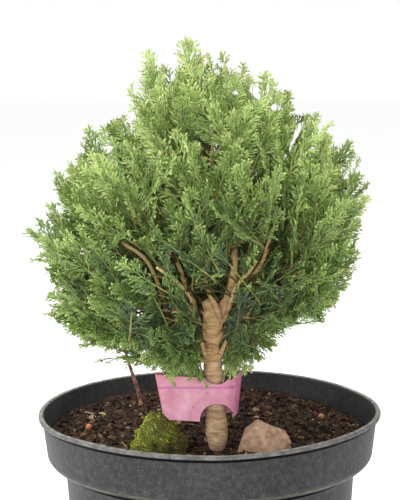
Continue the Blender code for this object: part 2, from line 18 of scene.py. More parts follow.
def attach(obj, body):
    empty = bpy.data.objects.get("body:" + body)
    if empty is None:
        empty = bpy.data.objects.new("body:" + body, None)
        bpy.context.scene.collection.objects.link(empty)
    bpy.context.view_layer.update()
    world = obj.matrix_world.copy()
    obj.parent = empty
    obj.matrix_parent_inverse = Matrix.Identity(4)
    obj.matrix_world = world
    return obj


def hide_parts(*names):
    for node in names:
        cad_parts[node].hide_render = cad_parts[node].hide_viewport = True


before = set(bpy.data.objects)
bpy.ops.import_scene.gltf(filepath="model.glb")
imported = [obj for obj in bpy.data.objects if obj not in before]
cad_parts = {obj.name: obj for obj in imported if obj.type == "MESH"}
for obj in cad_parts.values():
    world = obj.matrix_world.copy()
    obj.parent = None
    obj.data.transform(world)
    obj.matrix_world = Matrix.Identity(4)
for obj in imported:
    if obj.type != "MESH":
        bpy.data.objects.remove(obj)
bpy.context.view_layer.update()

# Sizes that the solids have too
POT_HEIGHT = 0.150
RIM_RADIUS = 0.0935
LIP_RADIUS = 0.0015
COLLAR_TOP_RADIUS = 0.0912
COLLAR_BOTTOM_RADIUS = 0.0892
COLLAR_HEIGHT = 0.0205
SHOULDER_DROP = 0.0120
SHOULDER_CURVE = 1.3
WALL_TOP_RADIUS = 0.0792
BASE_RADIUS = 0.0705
WALL = 0.0012
DRAIN_HOLES = 6
DRAIN_HOLE_RADIUS = 0.005
DRAIN_CIRCLE_RADIUS = 0.048
SOIL_TOP = 0.136
STONE_PLACE = Vector((0.0285, -0.0300, SOIL_TOP))
STONE_SIZE = Vector((0.0300, 0.0200, 0.0160))
STONE_CORNERS = (
    (-0.50, -0.20, 0.00), (-0.42, 0.42, 0.00), (0.30, 0.50, 0.00), (0.50, -0.05, 0.00),
    (0.20, -0.48, 0.00), (-0.38, -0.40, 0.55), (-0.33, 0.30, 0.62), (-0.12, 0.05, 1.00),
    (0.05, -0.30, 0.92), (0.24, -0.10, 0.70), (0.40, 0.22, 0.52), (0.46, -0.20, 0.38),
    (-0.20, -0.42, 0.86),
)
MOSS_PLACE = Vector((-0.0262, -0.0305, SOIL_TOP))
MOSS_SIZE = Vector((0.0155, 0.0140, 0.0165))
DEAD_STEM_FOOT = Vector((-0.0400, 0.0560, SOIL_TOP))
DEAD_STEM_TIP = Vector((-0.0490, 0.0450, 0.1790))
DEAD_STEM_RADIUS = 0.00125
TRUNK_FOOT = Vector((0.0037, -0.0310, SOIL_TOP))
TRUNK_STATIONS = (
    (0.0000, 0.0000, 0.0054),
    (0.0060, 0.0000, 0.0060),
    (0.0110, -0.0002, 0.0060),
    (0.0190, -0.0006, 0.0056),
    (0.0360, -0.0016, 0.0048),
    (0.0455, -0.0022, 0.0050),
    (0.0520, -0.0024, 0.0043),
    (0.0590, -0.0025, 0.0040),
    (0.0650, -0.0022, 0.0044),
    (0.0700, -0.0016, 0.0049),
    (0.0735, -0.0012, 0.0046),
)
LABEL_BOTTOM = 0.1545
LABEL_TOP = 0.1802
LABEL_THICKNESS = 0.0004
LABEL_LEFT = -0.0285
LABEL_RIGHT = 0.0168
LABEL_SEAT = 0.1625
LABEL_LOWER_NOTCH = (0.0090, 0.0085)
LABEL_UPPER_NOTCH = (0.0076, 0.0075)
LABEL_CORNER = 0.0090
CROWN_CENTRE = Vector((-0.0060, -0.0290, 0.2510))
CROWN_LEAN = 0.07
CROWN_RADIUS = 0.0885
CROWN_TOP = 0.3510
CROWN_BOTTOM = 0.1700
CROWN_UPPER_POWER = 1.5
CROWN_LOWER_POWER = 1.6
FRONT_AZIMUTH = 270.0
Tier = namedtuple("Tier", "name count elevation opening start inner radius")
TIERS = (
    Tier("top", 1, 86, 0, 0.0735, 0.062, 0.0024),
    Tier("upper", 5, 58, 0, 0.0705, 0.044, 0.0019),
    Tier("middle", 7, 31, 52, 0.0655, 0.037, 0.0016),
    Tier("lower", 6, 7, 54, 0.0600, 0.029, 0.0015),
    Tier("skirt", 5, -20, 80, 0.0475, 0.020, 0.0014),
)
DIRECTION_JITTER = 4.0
BOUGH_TAPER = 0.62
BOUGH_OUTWARD = 0.16
BOUGH_SWEEP = 0.45
SEED = 11
GOLDEN_ANGLE = math.radians(137.5)
STEM_SHARE = 0.66
SPRAY_TURN = 0.3
TWIG_RADIUS = 0.0008

# Photograph and camera: the picture's size and how far its lens sees
PICTURE_WIDTH = 400
PICTURE_HEIGHT = 500
FOCAL_PIXELS = 1428.0
CAMERA_PITCH = 8.225
CAMERA_ROLL = -0.5
CAMERA_PLACE = Vector((-0.0045, -0.7645, 0.3490))
SENSOR = 36.0

UP = Vector((0.0, 0.0, 1.0))


# Small tools


def linear(red, green, blue):
    """A colour given as 0 to 255 on screen, as the linear values a shader takes."""
    def one(value):
        share = value / 255.0
        return share / 12.92 if share <= 0.04045 else ((share + 0.055) / 1.055) ** 2.4

    return (one(red), one(green), one(blue), 1.0)


def grey(value):
    """A grey from 0 to 1, as a colour."""
    return (value, value, value, 1.0)


def place_new(name, data):
    """A new object that holds some data, linked to the scene."""
    obj = bpy.data.objects.new(name, data)
    bpy.context.scene.collection.objects.link(obj)
    return obj


def add_mesh(name, points, faces):
    """A smooth mesh object from points and faces."""
    mesh = bpy.data.meshes.new(name)
    mesh.from_pydata([tuple(point) for point in points], [], [tuple(face) for face in faces])
    mesh.polygons.foreach_set("use_smooth", [True] * len(mesh.polygons))
    return place_new(name, mesh)


def add_triangles(name, points, triangles, slots):
    """A mesh object from arrays of points and flat triangles, each triangle with its material's number."""
    mesh = bpy.data.meshes.new(name)
    mesh.vertices.add(len(points))
    mesh.vertices.foreach_set("co", points.astype(np.float32).ravel())
    mesh.loops.add(triangles.size)
    mesh.loops.foreach_set("vertex_index", triangles.astype(np.int32).ravel())
    mesh.polygons.add(len(triangles))
    mesh.polygons.foreach_set("loop_start", np.arange(0, triangles.size, 3, dtype=np.int32))
    mesh.polygons.foreach_set("material_index", slots.astype(np.int32))
    mesh.polygons.foreach_set("use_smooth", np.full(len(triangles), False))
    mesh.update(calc_edges=True)
    return place_new(name, mesh)


def add_shape(name, shape, smooth=False):
    """A mesh object from a bmesh, which is freed."""
    mesh = bpy.data.meshes.new(name)
    shape.to_mesh(mesh)
    shape.free()
    if smooth:
        mesh.shade_smooth()
    return place_new(name, mesh)


def rows_of(points):
    """Points as the rows of an array."""
    return np.array([tuple(point) for point in points])


class Heap:
    """Points, triangles and material numbers of many small things that become one mesh."""

    def __init__(self):
        self.points = []
        self.triangles = []
        self.slots = []
        self.count = 0
        self.nodes = []

    def add(self, points, triangles, slots):
        """Add a thing whose slots are one number for all its triangles, or one for each."""
        self.points.append(points if isinstance(points, np.ndarray) else rows_of(points))
        self.triangles.append(np.array(triangles) + self.count)
        self.slots.append(np.broadcast_to(slots, len(triangles)))
        self.count += len(points)

    def join(self, other):
        self.add(np.concatenate(other.points), np.concatenate(other.triangles), np.concatenate(other.slots))

    def size(self):
        return sum(len(one) for one in self.triangles)

    def build(self, name):
        return add_triangles(
            name, np.concatenate(self.points), np.concatenate(self.triangles), np.concatenate(self.slots))


def finish_piece(obj, slot, nodes, *materials):
    """Give a piece its materials and its place on the one body, and hide the solids of the nodes it stands
    for; slot is not used.
    """
    for material in materials:
        obj.data.materials.append(material)
    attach(obj, "root")
    if nodes:
        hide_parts(*nodes)
    return obj


def between(stations, x):
    """The value at x of a line through (x, value) stations."""
    for (low, low_value), (high, high_value) in zip(stations, stations[1:]):
        if x <= high:
            share = max(0.0, x - low) / (high - low)
            return low_value + share * (high_value - low_value)
    return stations[-1][1]


def circle(steps):
    """Cosine and sine of evenly spaced angles."""
    angles = [2 * math.pi * step / steps for step in range(steps)]
    return [(math.cos(angle), math.sin(angle)) for angle in angles]


def wobble(point, scale, seed=0.0):
    """Smooth noise from -1 to 1 at a point, for features of a size in metres."""
    return noise.noise(Vector(point) / scale + Vector((seed, seed * 1.7, -seed)))


def basis(along, normal):
    """A rotation whose +X runs along a direction and whose +Z is as near to a normal as it can be."""
    along = along.normalized()
    across = normal.cross(along)
    if across.length < 1e-6:
        across = along.orthogonal()
    across.normalize()
    return Matrix((along, across, along.cross(across))).transposed()


def aim(start, direction, roll=0.0):
    """A matrix that puts +X along a direction, with its +Z turned round it by a roll."""
    along = direction.normalized()
    across = UP.cross(along)
    if across.length < 1e-3:
        across = Vector((0.0, 1.0, 0.0))
    across.normalize()
    normal = along.cross(across)
    turn = Matrix.Rotation(roll, 3, along)
    columns = Matrix((along, turn @ across, turn @ normal)).transposed()
    return Matrix.Translation(start) @ columns.to_4x4()


def bezier(start, first, second, stop, count):
    """Points along a cubic curve with two handles."""
    points = []
    for index in range(count):
        share = index / (count - 1)
        rest = 1.0 - share
        bend = first * 3 * rest ** 2 * share + second * 3 * rest * share ** 2
        points.append(start * rest ** 3 + bend + stop * share ** 3)
    return points


def ring_faces(rings, sides, turned=False, closed=True):
    """Faces that join rings of points, and close the ends on the two points that follow the last ring."""
    faces = []
    for ring in range(rings - 1):
        low = ring * sides
        for side in range(sides):
            after = (side + 1) % sides
            corners = (low + side, low + after, low + sides + after, low + sides + side)
            faces.append(corners[:1] + corners[:0:-1] if turned else corners)
    if not closed:
        return faces
    last = (rings - 1) * sides
    middle = rings * sides
    for side in range(sides):
        pair = (side, (side + 1) % sides)
        here, after = pair[::-1] if turned else pair
        faces.append((after, here, middle))
        faces.append((last + here, last + after, middle + 1))
    return faces


def split_faces(faces):
    """Faces with three or four corners as triangles."""
    triangles = []
    for face in faces:
        triangles.append(tuple(face[:3]))
        if len(face) == 4:
            triangles.append((face[0], face[2], face[3]))
    return triangles


def sweep(points, radii, sides, relief=None):
    """A closed round limb along a line, as points and faces.

    relief changes the radius by the place, the share of the length and the radius there.
    """
    verts = []
    normal = None
    last = len(points) - 1
    for index, (centre, radius) in enumerate(zip(points, radii)):
        along = (points[min(index + 1, last)] - points[max(index - 1, 0)]).normalized()
        if normal is None:
            normal = along.orthogonal().normalized()
        normal = (normal - along * normal.dot(along)).normalized()
        across = along.cross(normal)
        for x, y in circle(sides):
            out = normal * x + across * y
            spot = centre + out * radius
            if relief is not None:
                spot = centre + out * (radius + relief(spot, index / last, radius))
            verts.append(spot)
    return verts + [points[0], points[-1]], ring_faces(len(points), sides)


# Materials


def shader_of(name, roughness):
    """A new material and its shader, with one roughness all over."""
    material = bpy.data.materials.new(name)
    material.use_nodes = True
    shader = material.node_tree.nodes["Principled BSDF"]
    shader.inputs["Roughness"].default_value = roughness
    return material, shader


def add_noise(material, size, detail=5.0, stretch=(1.0, 1.0, 1.0), distortion=0.0):
    """A noise pattern in the object's own space, for features of a size in metres."""
    nodes = material.node_tree.nodes
    links = material.node_tree.links
    place = nodes.new("ShaderNodeTexCoord")
    mapping = nodes.new("ShaderNodeMapping")
    mapping.inputs["Scale"].default_value = stretch
    pattern = nodes.new("ShaderNodeTexNoise")
    pattern.inputs["Scale"].default_value = 1.0 / size
    pattern.inputs["Detail"].default_value = detail
    pattern.inputs["Distortion"].default_value = distortion
    links.new(place.outputs["Object"], mapping.inputs["Vector"])
    links.new(mapping.outputs["Vector"], pattern.inputs["Vector"])
    return pattern.outputs["Fac"]


def add_ramp(material, source, stops):
    """Turn a value into a colour by stops of (value, colour)."""
    ramp = material.node_tree.nodes.new("ShaderNodeValToRGB")
    points = ramp.color_ramp.elements
    while len(points) < len(stops):
        points.new(0.5)
    for point, (value, colour) in zip(points, stops):
        point.position = value
        point.color = colour
    material.node_tree.links.new(source, ramp.inputs["Fac"])
    return ramp.outputs["Color"]


def add_mix(material, factor, first, second):
    """Mix two colours, each a socket or a plain colour, by a value."""
    mix = material.node_tree.nodes.new("ShaderNodeMix")
    mix.data_type = "RGBA"
    links = material.node_tree.links
    links.new(factor, mix.inputs["Factor"])
    for label, colour in (("A", first), ("B", second)):
        socket = [one for one in mix.inputs if one.name == label and one.type == "RGBA"][0]
        if isinstance(colour, tuple):
            socket.default_value = colour
        else:
            links.new(colour, socket)
    return [one for one in mix.outputs if one.type == "RGBA"][0]


def add_bump(material, source, height, previous=None):
    """Relief from a value, of a height in metres, on top of earlier relief."""
    bump = material.node_tree.nodes.new("ShaderNodeBump")
    bump.inputs["Strength"].default_value = 1.0
    bump.inputs["Distance"].default_value = height
    links = material.node_tree.links
    links.new(source, bump.inputs["Height"])
    if previous is not None:
        links.new(previous, bump.inputs["Normal"])
    return bump.outputs["Normal"]


def mottled(name, tones, size, roughness, relief, relief_size, stretch=(1.0, 1.0, 1.0)):
    """A surface whose colour drifts through a few tones, with finer relief of its own."""
    material, shader = shader_of(name, roughness)
    links = material.node_tree.links
    stops = [(0.30 + 0.40 * i / (len(tones) - 1), tone) for i, tone in enumerate(tones)]
    colour = add_ramp(material, add_noise(material, size, stretch=stretch), stops)
    links.new(colour, shader.inputs["Base Color"])
    bump = add_bump(material, add_noise(material, relief_size, stretch=stretch), relief)
    links.new(bump, shader.inputs["Normal"])
    return material


def dull(material):
    """Take most of the gloss off a material."""
    material.node_tree.nodes["Principled BSDF"].inputs["Specular IOR Level"].default_value = 0.20
    return material


def tone_set(tones, size, roughness, relief, relief_size):
    """One mottled material for each name with its darker and its lighter colour."""
    return [
        mottled(name, (linear(*dark), linear(*light)), size, roughness, relief, relief_size)
        for name, dark, light in tones]


def leaf_material(name, colour):
    """Scale leaves of one green, a little lighter and darker from scale to scale."""
    dark = tuple(part * LEAF_DARKER for part in colour[:3]) + (1.0,)
    light = tuple(min(1.0, part * LEAF_LIGHTER) for part in colour[:3]) + (1.0,)
    return mottled(name, (dark, colour, light), 0.0016, 0.62, 0.00012, 0.0007)


def object_place(material, axis, low, high):
    """A value that goes from 0 at one place along an axis of the object to 1 at another."""
    nodes = material.node_tree.nodes
    links = material.node_tree.links
    place = nodes.new("ShaderNodeTexCoord")
    split = nodes.new("ShaderNodeSeparateXYZ")
    spread = nodes.new("ShaderNodeMapRange")
    spread.inputs["From Min"].default_value = low
    spread.inputs["From Max"].default_value = high
    links.new(place.outputs["Object"], split.inputs["Vector"])
    links.new(split.outputs[axis], spread.inputs["Value"])
    return spread.outputs["Result"]


def multiply(material, first, second):
    """The product of two values."""
    maths = material.node_tree.nodes.new("ShaderNodeMath")
    maths.operation = "MULTIPLY"
    material.node_tree.links.new(first, maths.inputs[0])
    material.node_tree.links.new(second, maths.inputs[1])
    return maths.outputs["Value"]


def pot_material(zone):
    """Matt plastic of one zone of the pot, dusty, with fine scratches and pits."""
    material, shader = shader_of(zone.name, 0.54)
    shader.inputs["Specular IOR Level"].default_value = zone.gloss
    links = material.node_tree.links
    base = add_ramp(material, add_noise(material, zone.size, detail=8.0), (
        (0.35, linear(*zone.dark)), (0.65, linear(*zone.light))))
    dust = add_ramp(material, add_noise(material, 0.0028, detail=10.0), (
        (0.40, grey(0.0)), (0.85, grey(zone.dust))))
    colour = add_mix(material, dust, base, linear(92, 85, 78))
    specks = add_ramp(material, add_noise(material, 0.0009, detail=3.0), (
        (0.60, grey(0.0)), (0.74, grey(zone.dust))))
    colour = add_mix(material, specks, colour, linear(112, 110, 108))
    scratches = add_ramp(material, add_noise(material, 0.0020, detail=6.0, stretch=(1.0, 1.0, 0.10)), (
        (0.64, grey(0.0)), (0.69, grey(zone.dust * 0.2)), (0.74, grey(0.0))))
    colour = add_mix(material, scratches, colour, linear(96, 94, 92))
    pits = add_ramp(material, add_noise(material, 0.0013, detail=4.0), (
        (0.32, grey(0.60)), (0.43, grey(0.0))))
    colour = add_mix(material, pits, colour, linear(14, 14, 16))
    links.new(colour, shader.inputs["Base Color"])
    grain = add_bump(material, add_noise(material, 0.0011, detail=6.0), 0.00012)
    links.new(grain, shader.inputs["Normal"])
    return material


def label_material():
    """Faded pink plastic with a darker printed line and a little dirt."""
    material, shader = shader_of("label_plastic", 0.42)
    links = material.node_tree.links
    base = add_ramp(material, add_noise(material, 0.009), (
        (0.30, linear(194, 124, 144)), (0.50, linear(208, 142, 162)), (0.70, linear(220, 166, 188))))
    rise = object_place(material, "Z", LABEL_BOTTOM, LABEL_TOP)
    line = add_ramp(material, rise, (
        (0.600, grey(0.0)), (0.645, grey(0.80)), (0.690, grey(0.0))))
    lined = add_mix(material, line, base, linear(182, 76, 146))
    above = add_ramp(material, rise, (
        (0.66, grey(0.0)), (0.76, grey(0.5))))
    lined = add_mix(material, above, lined, linear(206, 124, 138))
    streaks = add_ramp(material, add_noise(material, 0.0022, stretch=(1.0, 1.0, 0.25)), (
        (0.35, grey(0.50)), (0.65, grey(1.0))))
    near_right = object_place(material, "X", LABEL_RIGHT - 0.0085, LABEL_RIGHT - 0.0020)
    stained = multiply(material, near_right, streaks)
    lined = add_mix(material, stained, lined, linear(170, 86, 122))
    dirt = add_ramp(material, add_noise(material, 0.0034, detail=1.0), (
        (0.68, grey(0.0)), (0.80, grey(0.70))))
    colour = add_mix(material, dirt, lined, linear(150, 84, 104))
    links.new(colour, shader.inputs["Base Color"])
    grain = add_bump(material, add_noise(material, 0.003), 0.00008)
    links.new(grain, shader.inputs["Normal"])
    return material


def bark_material():
    """Thin bark: tan and pinkish brown, with rings, scales and dark cracks; above the label and the fork it
    is more golden and also painted lighter, as painted light on wood in the crown's shade.
    """
    material, shader = shader_of("bark", 0.82)
    links = material.node_tree.links
    rings = add_noise(material, 0.0035, detail=7.0, stretch=(0.45, 0.45, 1.8), distortion=0.6)
    base = add_ramp(material, rings, (
        (0.28, linear(114, 85, 58)), (0.42, linear(154, 123, 90)),
        (0.58, linear(176, 147, 114)), (0.72, linear(198, 175, 144))))
    # Above the label: fresher, more golden bark, painted lighter as painted light where the crown shades
    # the trunk
    fresh = add_ramp(material, rings, (
        (0.28, linear(152, 114, 74)), (0.45, linear(206, 166, 118)), (0.70, linear(230, 200, 154))))
    above_label = object_place(material, "Z", LABEL_TOP - 0.008, LABEL_TOP + 0.006)
    base = add_mix(material, above_label, base, fresh)
    # Above the fork: young golden bark, painted lighter still as painted light on boughs inside the crown
    young_bark_and_painted_light = add_ramp(material, rings, (
        (0.28, linear(186, 146, 82)), (0.45, linear(232, 196, 122)), (0.70, linear(246, 222, 158))))
    above_fork = object_place(material, "Z", FORK.z + 0.004, FORK.z + 0.016)
    base = add_mix(material, above_fork, base, young_bark_and_painted_light)
    cracks = add_ramp(material, add_noise(material, 0.0026, detail=6.0, stretch=(0.45, 0.45, 2.2)), (
        (0.33, grey(0.50)), (0.45, grey(0.0))))
    colour = add_mix(material, cracks, base, linear(124, 93, 64))
    links.new(colour, shader.inputs["Base Color"])
    coarse = add_bump(material, rings, 0.0007)
    fine = add_bump(material, add_noise(material, 0.0009, detail=6.0), 0.00025, coarse)
    links.new(fine, shader.inputs["Normal"])
    return material


# Pot


POT_STEPS = 160
POT_RINGS_WALL = 14
LIP_STEPS = 16
LIP_TURN = 225.0
POT_UNEVEN = 0.00018
UNEVEN_RADIUS = 0.09
UNEVEN_SIZE = 0.035
SHOULDER_BOTTOM = POT_HEIGHT - COLLAR_HEIGHT - SHOULDER_DROP
LEDGE_START = 0.75
LEDGE_SHARE = 0.46
LEDGE_OVERHANG = 0.0023
LEDGE_UNDERCUT = 0.0004
LEDGE_SHADOW = 0.0026
LEDGE_INSET = 0.0010
LEDGE_STEPS = 8
LEDGE_HEIGHT = SHOULDER_BOTTOM + LEDGE_SHARE * SHOULDER_DROP
GROOVE_DEPTH = 1.60
RIM_WARP = (
    (0, 0.0012), (25, 0.0006), (50, 0.0011), (180, 0.0010), (208, 0.0006), (226, 0.0016), (245, 0.0013),
    (275, 0.0007), (318, 0.0021), (340, 0.0020), (360, 0.0012))
PotZone = namedtuple("PotZone", "name dark light size dust gloss")
POT_ZONES = (
    PotZone("pot_outside", (14, 15, 18), (26, 27, 31), 0.030, 0.38, 0.34),
    PotZone("pot_inside", (25, 25, 27), (48, 48, 51), 0.030, 0.32, 0.34),
    # Worn lighter plastic on the lip's top, with painted highlight
    PotZone("pot_lip", (88, 86, 82), (140, 136, 129), 0.0040, 0.40, 0.34),
    # Painted shade: near black with almost no gloss, under the lip and under the ledge
    PotZone("pot_crease", (5, 5, 6), (10, 10, 11), 0.010, 0.03, 0.03),
    # Greenish grime along the ledge, lightened further as a painted highlight
    PotZone("pot_ledge", (36, 37, 30), (80, 80, 62), 0.0070, 0.35, 0.34),
    # Worn plastic on the lip's outer side, painted lighter than the wall as painted light
    PotZone("pot_lip_side", (62, 62, 61), (102, 100, 97), 0.0060, 0.45, 0.34),
)
OUTSIDE, INSIDE, LIP, CREASE_SHADE, LEDGE, LIP_SIDE_WEAR_AND_PAINTED_LIGHT = range(6)
# The lip's zones follow the way its surface faces: top lightest as painted highlight on worn plastic, outer
# side less light, underside near black as painted shade
LIP_ZONES = ((150.0, INSIDE), (62.0, LIP), (-10.0, LIP_SIDE_WEAR_AND_PAINTED_LIGHT), (-90.0, CREASE_SHADE))


def shoulder(offset, upward, first=0.0, count=13):
    """The rounded step between the pot's wall and its collar, from a share of its height, as an S curve."""
    points = []
    for index in range(count):
        share = first + (1.0 - first) * index / (count - 1)
        swell = math.sin(share * math.pi / 2) ** SHOULDER_CURVE
        radius = WALL_TOP_RADIUS + swell * (COLLAR_BOTTOM_RADIUS - WALL_TOP_RADIUS)
        points.append((radius + offset, SHOULDER_BOTTOM + share * SHOULDER_DROP))
    return points if upward else points[::-1]


def ledge_turn(foot, before, edge):
    """The shoulder's lower turn, from its last two points on the S curve to the ledge's edge."""
    slope = (foot[0] - before[0]) / (foot[1] - before[1])
    corner_height = edge[1] + LEDGE_UNDERCUT
    corner = (foot[0] + slope * (corner_height - foot[1]), corner_height)
    points = []
    for step in range(1, LEDGE_STEPS + 1):
        share = step / LEDGE_STEPS
        rest = 1.0 - share
        points.append(tuple(
            a * rest ** 2 + b * 2 * rest * share + c * share ** 2 for a, b, c in zip(foot, corner, edge)))
    return points


def spread(first, last, count):
    """Points spaced evenly between two, with neither end."""
    return [
        tuple(a + (b - a) * i / (count + 1) for a, b in zip(first, last))
        for i in range(1, count + 1)]


def pot_profile():
    """The pot's outline from its inner floor over the lip to its underside, each point with its zone."""
    outline = []

    def add(points, zone):
        outline.extend((point, zone) for point in points)

    lip_height = POT_HEIGHT - LIP_RADIUS
    lip_centre = RIM_RADIUS - LIP_RADIUS
    inner_floor = (BASE_RADIUS - WALL, WALL)
    inner_wall_top = (WALL_TOP_RADIUS - WALL, LEDGE_HEIGHT)
    inner_shoulder = [
        (radius, height + WALL) for radius, height in shoulder(-WALL, upward=True, first=LEDGE_START)]
    add(spread((0.0, WALL), inner_floor, 4) + [inner_floor], INSIDE)
    add(spread(inner_floor, (inner_wall_top[0], SHOULDER_BOTTOM), POT_RINGS_WALL), INSIDE)
    add([(inner_wall_top[0], SHOULDER_BOTTOM), inner_wall_top] + inner_shoulder, INSIDE)
    lip_inside = (lip_centre - LIP_RADIUS, lip_height)
    add(spread(inner_shoulder[-1], lip_inside, 6) + [lip_inside], INSIDE)
    for step in range(1, LIP_STEPS + 1):
        degrees = 180.0 - LIP_TURN * step / LIP_STEPS
        angle = math.radians(degrees)
        spot = (lip_centre + LIP_RADIUS * math.cos(angle), lip_height + LIP_RADIUS * math.sin(angle))
        add([spot], next(zone for lowest, zone in LIP_ZONES if degrees > lowest))
    below_lip = (COLLAR_TOP_RADIUS, lip_height - GROOVE_DEPTH * LIP_RADIUS)
    outer_shoulder = shoulder(0.0, upward=False, first=LEDGE_START)
    add([below_lip] + spread(below_lip, outer_shoulder[0], 8) + outer_shoulder[:-1], OUTSIDE)
    edge = (WALL_TOP_RADIUS + LEDGE_OVERHANG, LEDGE_HEIGHT)
    turn = ledge_turn(outer_shoulder[-1], outer_shoulder[-2], edge)
    # The ledge's rounded edge: greenish grime and a painted highlight
    add([outer_shoulder[-1]] + turn[:-1], LEDGE)
    under_ledge = (WALL_TOP_RADIUS + LEDGE_INSET, edge[1] - LEDGE_UNDERCUT)
    below_ledge = (WALL_TOP_RADIUS + LEDGE_INSET / 2, edge[1] - LEDGE_SHADOW)
    # Painted shade: from the ledge's edge down to LEDGE_SHADOW below it the wall is near black
    add([edge, under_ledge], CREASE_SHADE)
    wall_top = (WALL_TOP_RADIUS, SHOULDER_BOTTOM)
    foot = (BASE_RADIUS, WALL)
    add([below_ledge, wall_top] + spread(wall_top, foot, POT_RINGS_WALL) + [foot], OUTSIDE)
    underside = (BASE_RADIUS - WALL, 0.0)
    add([underside] + spread(underside, (0.0, 0.0), 4), OUTSIDE)
    return [point for point, _ in outline], [zone for _, zone in outline]


def rim_warp(x, y, height):
    """How far the warped rim of an old pot stands above a level one, fading out down the collar."""
    azimuth = math.degrees(math.atan2(y, x)) % 360.0
    share = max(0.0, (height - POT_HEIGHT + COLLAR_HEIGHT) / COLLAR_HEIGHT)
    return between(RIM_WARP, azimuth) * share ** 1.5


def turn_profile(profile):
    """The pot's points and faces: its outline turned round the axis, where both its ends close."""
    verts = []
    for radius, height in profile:
        for x, y in circle(POT_STEPS):
            flat = Vector((x, y, 0.0))
            out = radius + POT_UNEVEN * wobble(flat * UNEVEN_RADIUS + UP * height, UNEVEN_SIZE)
            verts.append(flat * out + UP * height)
    verts += [UP * WALL, Vector()]
    return verts, ring_faces(len(profile), POT_STEPS, turned=True)


def cut_holes(obj, matrices):
    """Cut upright cylinders of radius 1 and height 2, put in place by matrices, out of an object."""
    shape = bmesh.new()
    for matrix in matrices:
        bmesh.ops.create_cone(
            shape, cap_ends=True, segments=40, radius1=1.0, radius2=1.0, depth=2.0, matrix=matrix)
    apply_cut(obj, add_shape("cutter", shape))


def apply_cut(obj, cutter):
    """Cut one mesh out of another for good."""
    boolean = obj.modifiers.new("cut", "BOOLEAN")
    boolean.operation = "DIFFERENCE"
    boolean.object = cutter
    bake_modifiers(obj)
    bpy.data.objects.remove(cutter, do_unlink=True)


def bake_modifiers(obj):
    """Replace an object's mesh by the one its modifiers give."""
    graph = bpy.context.evaluated_depsgraph_get()
    mesh = bpy.data.meshes.new_from_object(obj.evaluated_get(graph))
    obj.modifiers.clear()
    obj.data = mesh


def build_pot():
    """The round nursery pot, with a rolled lip, a collar, a rounded shoulder and drainage holes."""
    profile, zones = pot_profile()
    verts, faces = turn_profile(profile)
    verts = [vert + UP * rim_warp(vert.x, vert.y, vert.z) for vert in verts]
    pot = add_mesh("nursery_pot", verts, faces)
    for zone in POT_ZONES:
        pot.data.materials.append(pot_material(zone))
    for face in pot.data.polygons:
        ring = face.index // POT_STEPS
        face.material_index = zones[ring] if ring < len(zones) - 1 else OUTSIDE
    holes = []
    for x, y in circle(DRAIN_HOLES):
        place = Vector((x, y, 0.0)) * DRAIN_CIRCLE_RADIUS
        size = Matrix.Diagonal((DRAIN_HOLE_RADIUS, DRAIN_HOLE_RADIUS, 4 * WALL, 1.0))
        holes.append(Matrix.Translation(place) @ size)
    cut_holes(pot, holes)
    pot.data.set_sharp_from_angle(angle=math.radians(40))
    finish_piece(pot, "pot_plastic", ["pot"])


# Soil


SOIL_STEPS = 150
SOIL_RINGS = 60
Crumbs = namedtuple("Crumbs", "count sizes squeeze shares lift flatness sides")
CRUMB_KINDS = (
    Crumbs(1500, (0.0022, 0.0062), (0.7, 1.0), (52, 34, 8, 2), 0.12, (0.35, 0.8), 5),
    Crumbs(2600, (0.0009, 0.0022), None, (46, 36, 11, 4), 0.2, (0.5, 1.0), 4))
CRUMB_LEAN = 0.6
CRUMB_TONES = (
    ("chip_dark", (19, 12, 9), (38, 25, 18)),
    ("chip_brown", (52, 35, 24), (80, 56, 40)),
    ("chip_tan", (92, 68, 46), (124, 96, 66)),
    ("chip_pale", (128, 112, 88), (160, 144, 116)))
FIBRE_COUNT = 60
FIBRE_LENGTHS = (0.003, 0.008)
FIBRE_RADII = (0.0002, 0.00045)
FIBRE_POINTS = 5
SOIL_CLEARANCE = 0.0004
SOIL_SIDE_CLEARANCE = 0.0005
SOIL_FLOOR_CLEARANCE = 0.0003
CHIP_CLEARANCE = 0.0038
PRILL_PLACES = ((-0.0672, 0.0080), (0.0150, 0.0480), (0.0640, 0.0300))
PRILL_RADIUS = 0.0019
PRILL_LIFT = 0.0010
SOIL_BANKS = ((130.0, 0.0065), (50.0, 0.0035))
SOIL_BURIES = 0.0030
KEPT_FREE = ((TRUNK_FOOT, 0.0052), (STONE_PLACE, 0.0125), (MOSS_PLACE, 0.0135), (DEAD_STEM_FOOT, 0.002))
FOOT_MOUNDS = ((TRUNK_FOOT, 0.0100, 0.0020), (STONE_PLACE, 0.0150, 0.0014), (MOSS_PLACE, 0.0150, 0.0012))


def pot_inner_radius(height):
    """Radius of the pot's inside at a height."""
    collar_bottom = POT_HEIGHT - COLLAR_HEIGHT
    share = min(1.0, max(0.0, (height - collar_bottom) / COLLAR_HEIGHT))
    return COLLAR_BOTTOM_RADIUS + share * (COLLAR_TOP_RADIUS - COLLAR_BOTTOM_RADIUS) - WALL


def soil_height(x, y):
    """Height of the soil's lumpy surface."""
    spot = Vector((x, y, 0.0))
    lumps = 0.0016 * wobble(spot, 0.018, 3.0) + 0.0011 * wobble(spot, 0.007, 5.0)
    crumbs = 0.0007 * wobble(spot, 0.0028, 8.0)
    edge = math.hypot(x, y) / pot_inner_radius(SOIL_TOP)
    heading = math.atan2(y, x)
    banks = sum(
        rise * max(0.0, math.cos(heading - math.radians(azimuth))) for azimuth, rise in SOIL_BANKS)
    mounds = sum(
        rise * math.exp(-((x - foot.x) ** 2 + (y - foot.y) ** 2) / width ** 2)
        for foot, width, rise in FOOT_MOUNDS)
    return SOIL_TOP - 0.0010 + lumps + crumbs + banks * edge ** 3 + mounds - 0.0012 * edge ** 6


